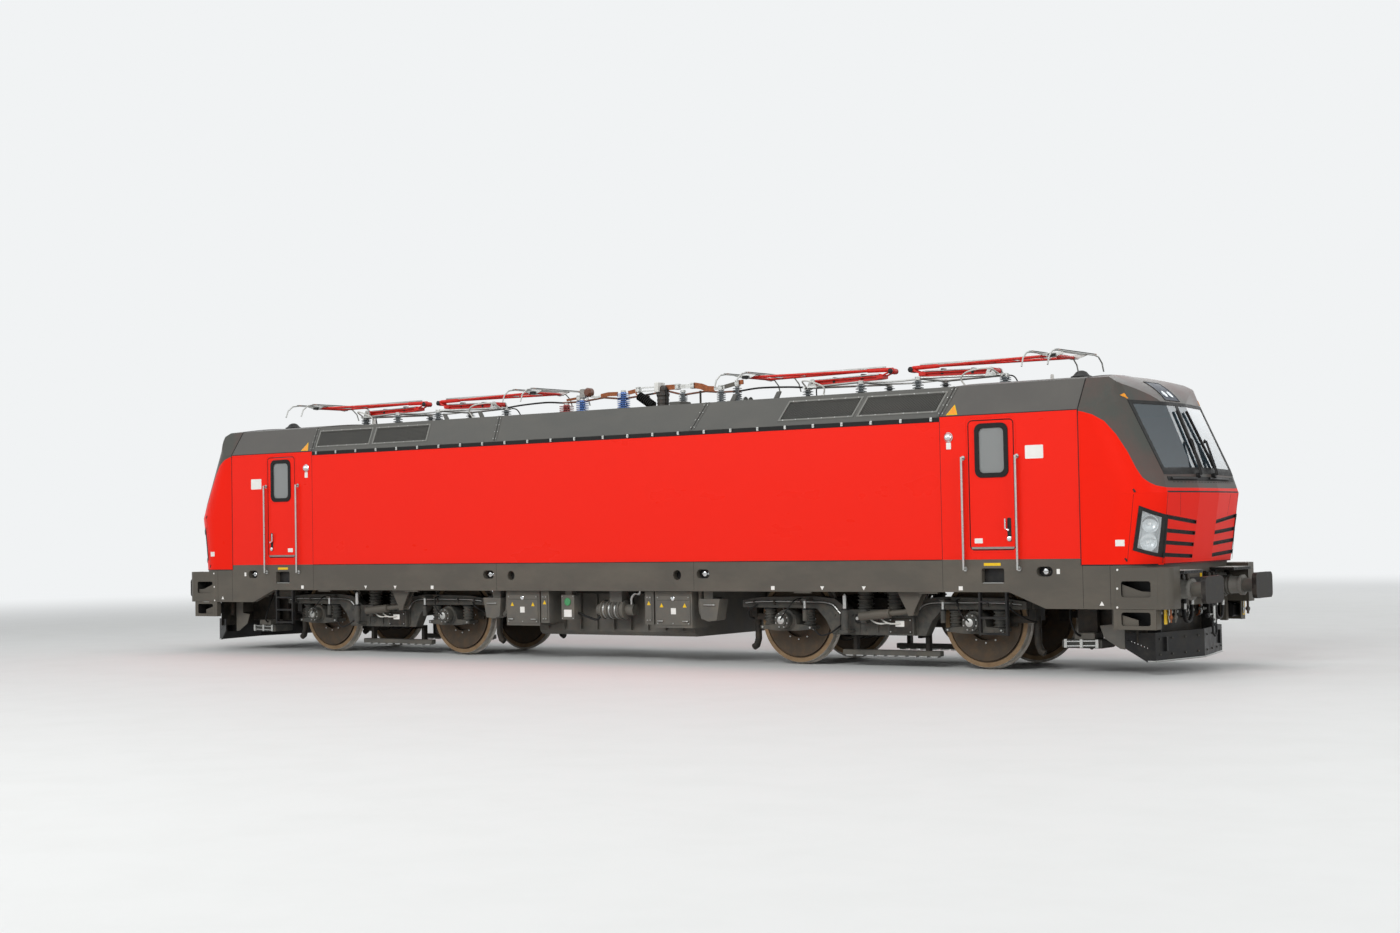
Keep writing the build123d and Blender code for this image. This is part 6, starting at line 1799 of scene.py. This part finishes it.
@dataclass
class BufferBeams(Assembly):
    """Both ends: rams and bolts of the buffers, treads, sockets, hose couplings, cocks, plough edge."""

    buffer_y: float = 0.875
    buffer_z: float = 1.06
    hoses: tuple = ((0.300, 0.560, 0.070), (0.400, 0.650, 0.125))

    def buffer(self) -> None:
        """Bright ram, rings and bolts of the near buffer."""
        self.bar((9.20, -self.buffer_y, self.buffer_z), (9.432, -self.buffer_y, self.buffer_z), 0.0935,
            CASE_GREY, 32)
        for x in (8.945, 8.985, 9.025):
            self.turned([(0, 0.110), (0, 0.132), (0.012, 0.132), (0.012, 0.110)],
                (x, -self.buffer_y, self.buffer_z), AHEAD, GEAR_GREY, 32)
        for dy in (-0.155, 0.155):
            for dz in (-0.128, 0.128):
                self.bolt((8.896, -self.buffer_y + dy, self.buffer_z + dz), AHEAD, 0.019, STEEL)

    def steps(self) -> None:
        """Tread over the near buffer: ribs, a folded front lip with slots."""
        for x in np.linspace(8.895, 9.175, 8):
            self.block(about(x, 0.006), (-1.13, -0.56), (1.2995, 1.3055), TREAD, 0.0015)
        self.block((9.190, 9.204), (-1.152, -0.538), (1.262, 1.304), BLACK_PAINT)
        for y in np.linspace(-1.08, -0.62, 6):
            self.slab(end_face(9.204), rounded(about(y, 0.028), (1.272, 1.290), 0.008, 4), -0.001, 0.0008,
                RUBBER, 0.0005)

    def sockets(self) -> None:
        """Cable sockets on the headstock, with round lids."""
        z = 1.20
        for y in (-0.36, -0.52):
            self.block((8.868, 8.915), about(y, 0.055), about(z, 0.06), BLACK_PAINT, 0.006)
            self.cap((8.913, y, z), (1, 0, 0.15), (0.045, 0.03), (0.036, 0.036), GEAR_DARK, 24)

    def hose_ends(self) -> None:
        """Metal sleeves at both ends of the hoses, and the handles of the cocks."""
        for (near, far, out), handle in zip(self.hoses, (YELLOW_PLATE, RED)):
            x = 8.87 + out
            for y, z in ((-near, 0.905), (-far, 0.855)):
                self.bar((x, y, z - 0.055), (x, y, z + 0.018), 0.0265, STEEL, 16)
            self.bar((x, -near, 0.978), (x, -near, 0.992), 0.016, STEEL)
            self.tube(arc((x, -near, 0.990), (x + 0.01, -near + 0.03, 0.996),
                (x + 0.03, -near + 0.09, 0.985)), 0.0085, handle, 8)

    def valves(self) -> None:
        """Pipes, valves and blank labels on the bulkhead under the headstock."""
        for y, finish in ((-0.78, STEEL), (-0.70, COPPER), (-0.36, STEEL), (-0.18, HOSE)):
            self.tube(arc((8.592, y, 0.66), (8.64, y, 0.68), (8.65, y, 0.76), (8.64, y, 0.86),
                (8.60, y, 0.90)), 0.013, finish, 8)
            self.turned([(0, 0), (0, 0.028), (0.035, 0.028), (0.04, 0.018), (0.06, 0.018), (0.06, 0)],
                (8.65, y, 0.75), AHEAD, ALUMINIUM, 16)
        for y in (-0.62, -0.50):
            self.slab(end_face(8.59), rounded(about(y, 0.035), (0.68, 0.80), 0.006), -0.001, 0.004,
                YELLOW_PLATE, 0.001)
        self.block((8.588, 8.66), (-0.60, -0.44), (0.86, 0.98), CASE_GREY, 0.01)

    def plough(self) -> None:
        """Worn lower edge and bolts of the plough on the near side."""
        for a, b in (((8.992, 0.0), (8.792, -1.120)), ((8.792, -1.120), (8.70, -1.164))):
            along_edge = np.array([(*a, 0.160), (*b, 0.160)])
            self.tube(along_edge, 0.011, STEEL, 8)
        for y in (-0.15, -0.45, -0.75, -1.02):
            x = 8.990 + (8.79 - 8.99) * (-y / 1.12)
            self.bolt((x, y, 0.44), (0.984, -0.176, 0), 0.014, GEAR_GREY)
            self.bolt((x, y, 0.24), (0.984, -0.176, 0), 0.014, GEAR_GREY)

    def coupling(self) -> None:
        """Bright screw of the coupling, its handle weight, a blank plate on the headstock."""
        self.bar((9.125, 0, 0.60), (9.125, 0, 0.82), 0.0235, STEEL, 16)
        self.bar((9.125, -0.06, 0.715), (9.125, -0.20, 0.700), 0.010, STEEL)
        self.cap((9.125, -0.19, 0.70), NEAR, (0.03, 0.05), (0.02, 0.06), BLACK_PAINT, 16)
        self.slab(end_face(8.87), rounded((0.29, 0.49), (0.99, 1.13), 0.006), -0.001, 0.003, WHITE_PLATE,
            0.001)
        self.slab(end_face(8.87), rounded((0.200, 0.262), (0.96, 1.25), 0.006), -0.001, 0.004, YELLOW_PLATE,
            0.001)
        for y in (-0.165, 0.165):
            for z in (0.965, 1.155):
                self.bolt((8.91, y, z), AHEAD, 0.017, STEEL)

    def build(self) -> None:
        """Makes the piece of both ends."""
        side = self.drawn(self.buffer, self.steps, self.sockets, self.hose_ends, self.valves, self.plough)
        at_corners(side).piece("buffer_beam_fittings")
        at_ends(self.drawn(self.coupling)).piece("coupling_fittings")


@dataclass
class CabFittings:
    """What shows through the cab windows: screens on the desk, a headrest and cushion, a lever."""

    def build(self) -> None:
        """Makes the piece of both cabs."""
        shape = Shape()
        for y in (-0.55, -0.20, 0.20, 0.55):
            shape.slab(Plane3((8.46, y, 2.484), (0, 1, 0), (-0.35, 0, 0.94)),
                rounded((-0.13, 0.13), (0.0, 0.20), 0.012), -0.03, 0.0, BLACK_PAINT, 0.004)
            shape.slab(Plane3((8.458, y, 2.486), NEAR, (-0.35, 0, 0.94)),
                rounded((-0.115, 0.115), (0.02, 0.185), 0.008), 0.02, 0.036, BROW_GLASS, 0.002)
        shape.block((7.235, 7.31), (-0.15, 0.15), (2.74, 2.93), BLACK_PAINT, 0.02)
        shape.block((7.40, 7.80), (-0.22, 0.22), (2.055, 2.088), GEAR_DARK, 0.012)
        shape.bar((8.35, -0.45, 2.47), (8.35, -0.45, 2.56), 0.02, STEEL)
        at_ends(shape).piece("cab_fittings")


@dataclass
class Studio:
    """Floor, lights, background and the camera at the photograph's place."""

    place: tuple = (18.952, -24.970, 1.933)
    yaw: float = -0.6243
    pitch: float = 0.0314
    roll: float = -0.0191
    focal_px: float = 2002.3
    sensor_mm: float = 36.0
    floor_lines: tuple = (-160, 0, 160)

    def camera(self) -> None:
        """Sets the camera: its axes are yaw, pitch and roll about the fitted place."""
        cy, sy, cp, sp = math.cos(self.yaw), math.sin(self.yaw), math.cos(self.pitch), math.sin(self.pitch)
        ahead = Vector((sy * cp, cy * cp, sp))
        right = Vector((cy, -sy, 0))
        up = right.cross(ahead)
        cr, sr = math.cos(self.roll), math.sin(self.roll)
        right, up = cr * right + sr * up, cr * up - sr * right
        data = bpy.data.cameras.new("photo_camera")
        data.sensor_width = self.sensor_mm
        data.lens = self.focal_px * self.sensor_mm / PHOTO_WIDTH
        data.clip_end = 400
        made = bpy.data.objects.new("photo_camera", data)
        axes = Matrix((right, up, -ahead)).transposed().to_4x4()
        made.matrix_world = Matrix.Translation(Vector(self.place) + Vector((0, 0, RAIL))) @ axes
        bpy.context.scene.collection.objects.link(made)
        bpy.context.scene.camera = made

    def floor(self) -> None:
        """Lays a pale floor under the wheels."""
        points = [(x, y, 0) for x in self.floor_lines for y in self.floor_lines]
        mesh = bpy.data.meshes.new("studio_floor")
        mesh.from_pydata(points, [], [(k, k + 3, k + 4, k + 1) for k in (0, 1, 3, 4)])
        mesh.materials.append(STUDIO_FLOOR.material())
        made = bpy.data.objects.new("studio_floor", mesh)
        bpy.context.scene.collection.objects.link(made)

    def light(self, name: str, place: tuple, power: float, size: tuple) -> None:
        """Adds one soft area light that looks at the middle of the locomotive.

        Args:
            name: what it is for.
            place: where it hangs.
            power: watts.
            size: its width and height.
        """
        data = bpy.data.lights.new(name, "AREA")
        data.shape, data.size, data.size_y, data.energy = "RECTANGLE", size[0], size[1], power
        made = bpy.data.objects.new(name, data)
        made.location = place
        made.rotation_mode = "QUATERNION"
        made.rotation_quaternion = (Vector((0, 0, 2)) - Vector(place)).to_track_quat("-Z", "Y")
        bpy.context.scene.collection.objects.link(made)

    def world(self) -> None:
        """Sets a pale background, and a softer light for the object."""
        world = bpy.data.worlds.new("studio")
        bpy.context.scene.world = world
        world.use_nodes = True
        tree = world.node_tree
        tree.nodes.clear()
        rays = add_node(tree, "LightPath", {}).node.outputs
        seen = rays["Is Camera Ray"]
        for kind in ("Is Transmission Ray", "Is Glossy Ray"):
            seen = add_node(tree, "Math", {0: seen, 1: rays[kind]}, operation="ADD", use_clamp=True)
        strength = add_node(tree, "MapRange", {0: seen, 3: 0.46, 4: 1.0})
        back = add_node(tree, "Background", {0: linear(BACKDROP), 1: strength})
        add_node(tree, "OutputWorld", {0: back})

    def build(self) -> None:
        """Puts up the whole studio."""
        self.camera()
        self.floor()
        self.world()
        self.light("sun_side_light", (6, -30, 20), 4300, (14, 9))
        self.light("long_side_light", (-14, -26, 12), 1500, (18, 7))
        self.light("front_light", (30, -10, 9), 1500, (8, 8))
        self.light("top_light", (0, 4, 24), 1300, (26, 14))
        self.light("back_light", (6, 28, 12), 900, (24, 8))
        bpy.context.scene.view_settings.view_transform = "Standard"


@dataclass(frozen=True)
class StudioFloor(Finish):
    """Plain floor that runs out into the background far from the locomotive."""

    near_m: float = 16.0
    far_m: float = 46.0

    def material(self) -> bpy.types.Material:
        """Builds the floor's material.

        Returns:
            The node material: a matt surface near by, the background's own light far off.
        """
        made = super().material()
        tree = made.node_tree
        end = next(node for node in tree.nodes if node.bl_idname == "ShaderNodeOutputMaterial")
        near = end.inputs[0].links[0].from_socket
        place = add_node(tree, "TexCoord", {}, "Object")
        reach = add_node(tree, "VectorMath", {0: place}, "Value", operation="LENGTH")
        limits = {1: self.near_m, 2: self.far_m}
        share = add_node(tree, "MapRange", {0: reach, **limits}, interpolation_type="SMOOTHSTEP")
        far = add_node(tree, "Emission", {0: linear(BACKDROP), 1: 1.0})
        tree.links.new(add_node(tree, "MixShader", {0: share, 1: near, 2: far}), end.inputs[0])
        return made


# Painted concrete: pale and matt, with hardly any pattern
STUDIO_FLOOR = StudioFloor("pale_studio_floor", "#E4E5E4", "#DCDDDB", 0.3, 900, 0.7, 0.05, 20, 0.2)


def main() -> None:
    """Builds every piece."""
    logging.basicConfig(level=logging.INFO, format="%(name)s: %(message)s")
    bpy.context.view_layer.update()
    NodePaint().dress()
    for assembly in (BodySides(), CornerPlates(), CabDoors(), NoseFittings(), LampUnits(), RoofFittings(),
            Pantographs(), RoofLine(), Bogies(), WheelBolts(), Underfloor(), BufferBeams(), CabFittings()):
        assembly.build()
    Studio().build()


if __name__ == "__main__":
    main()
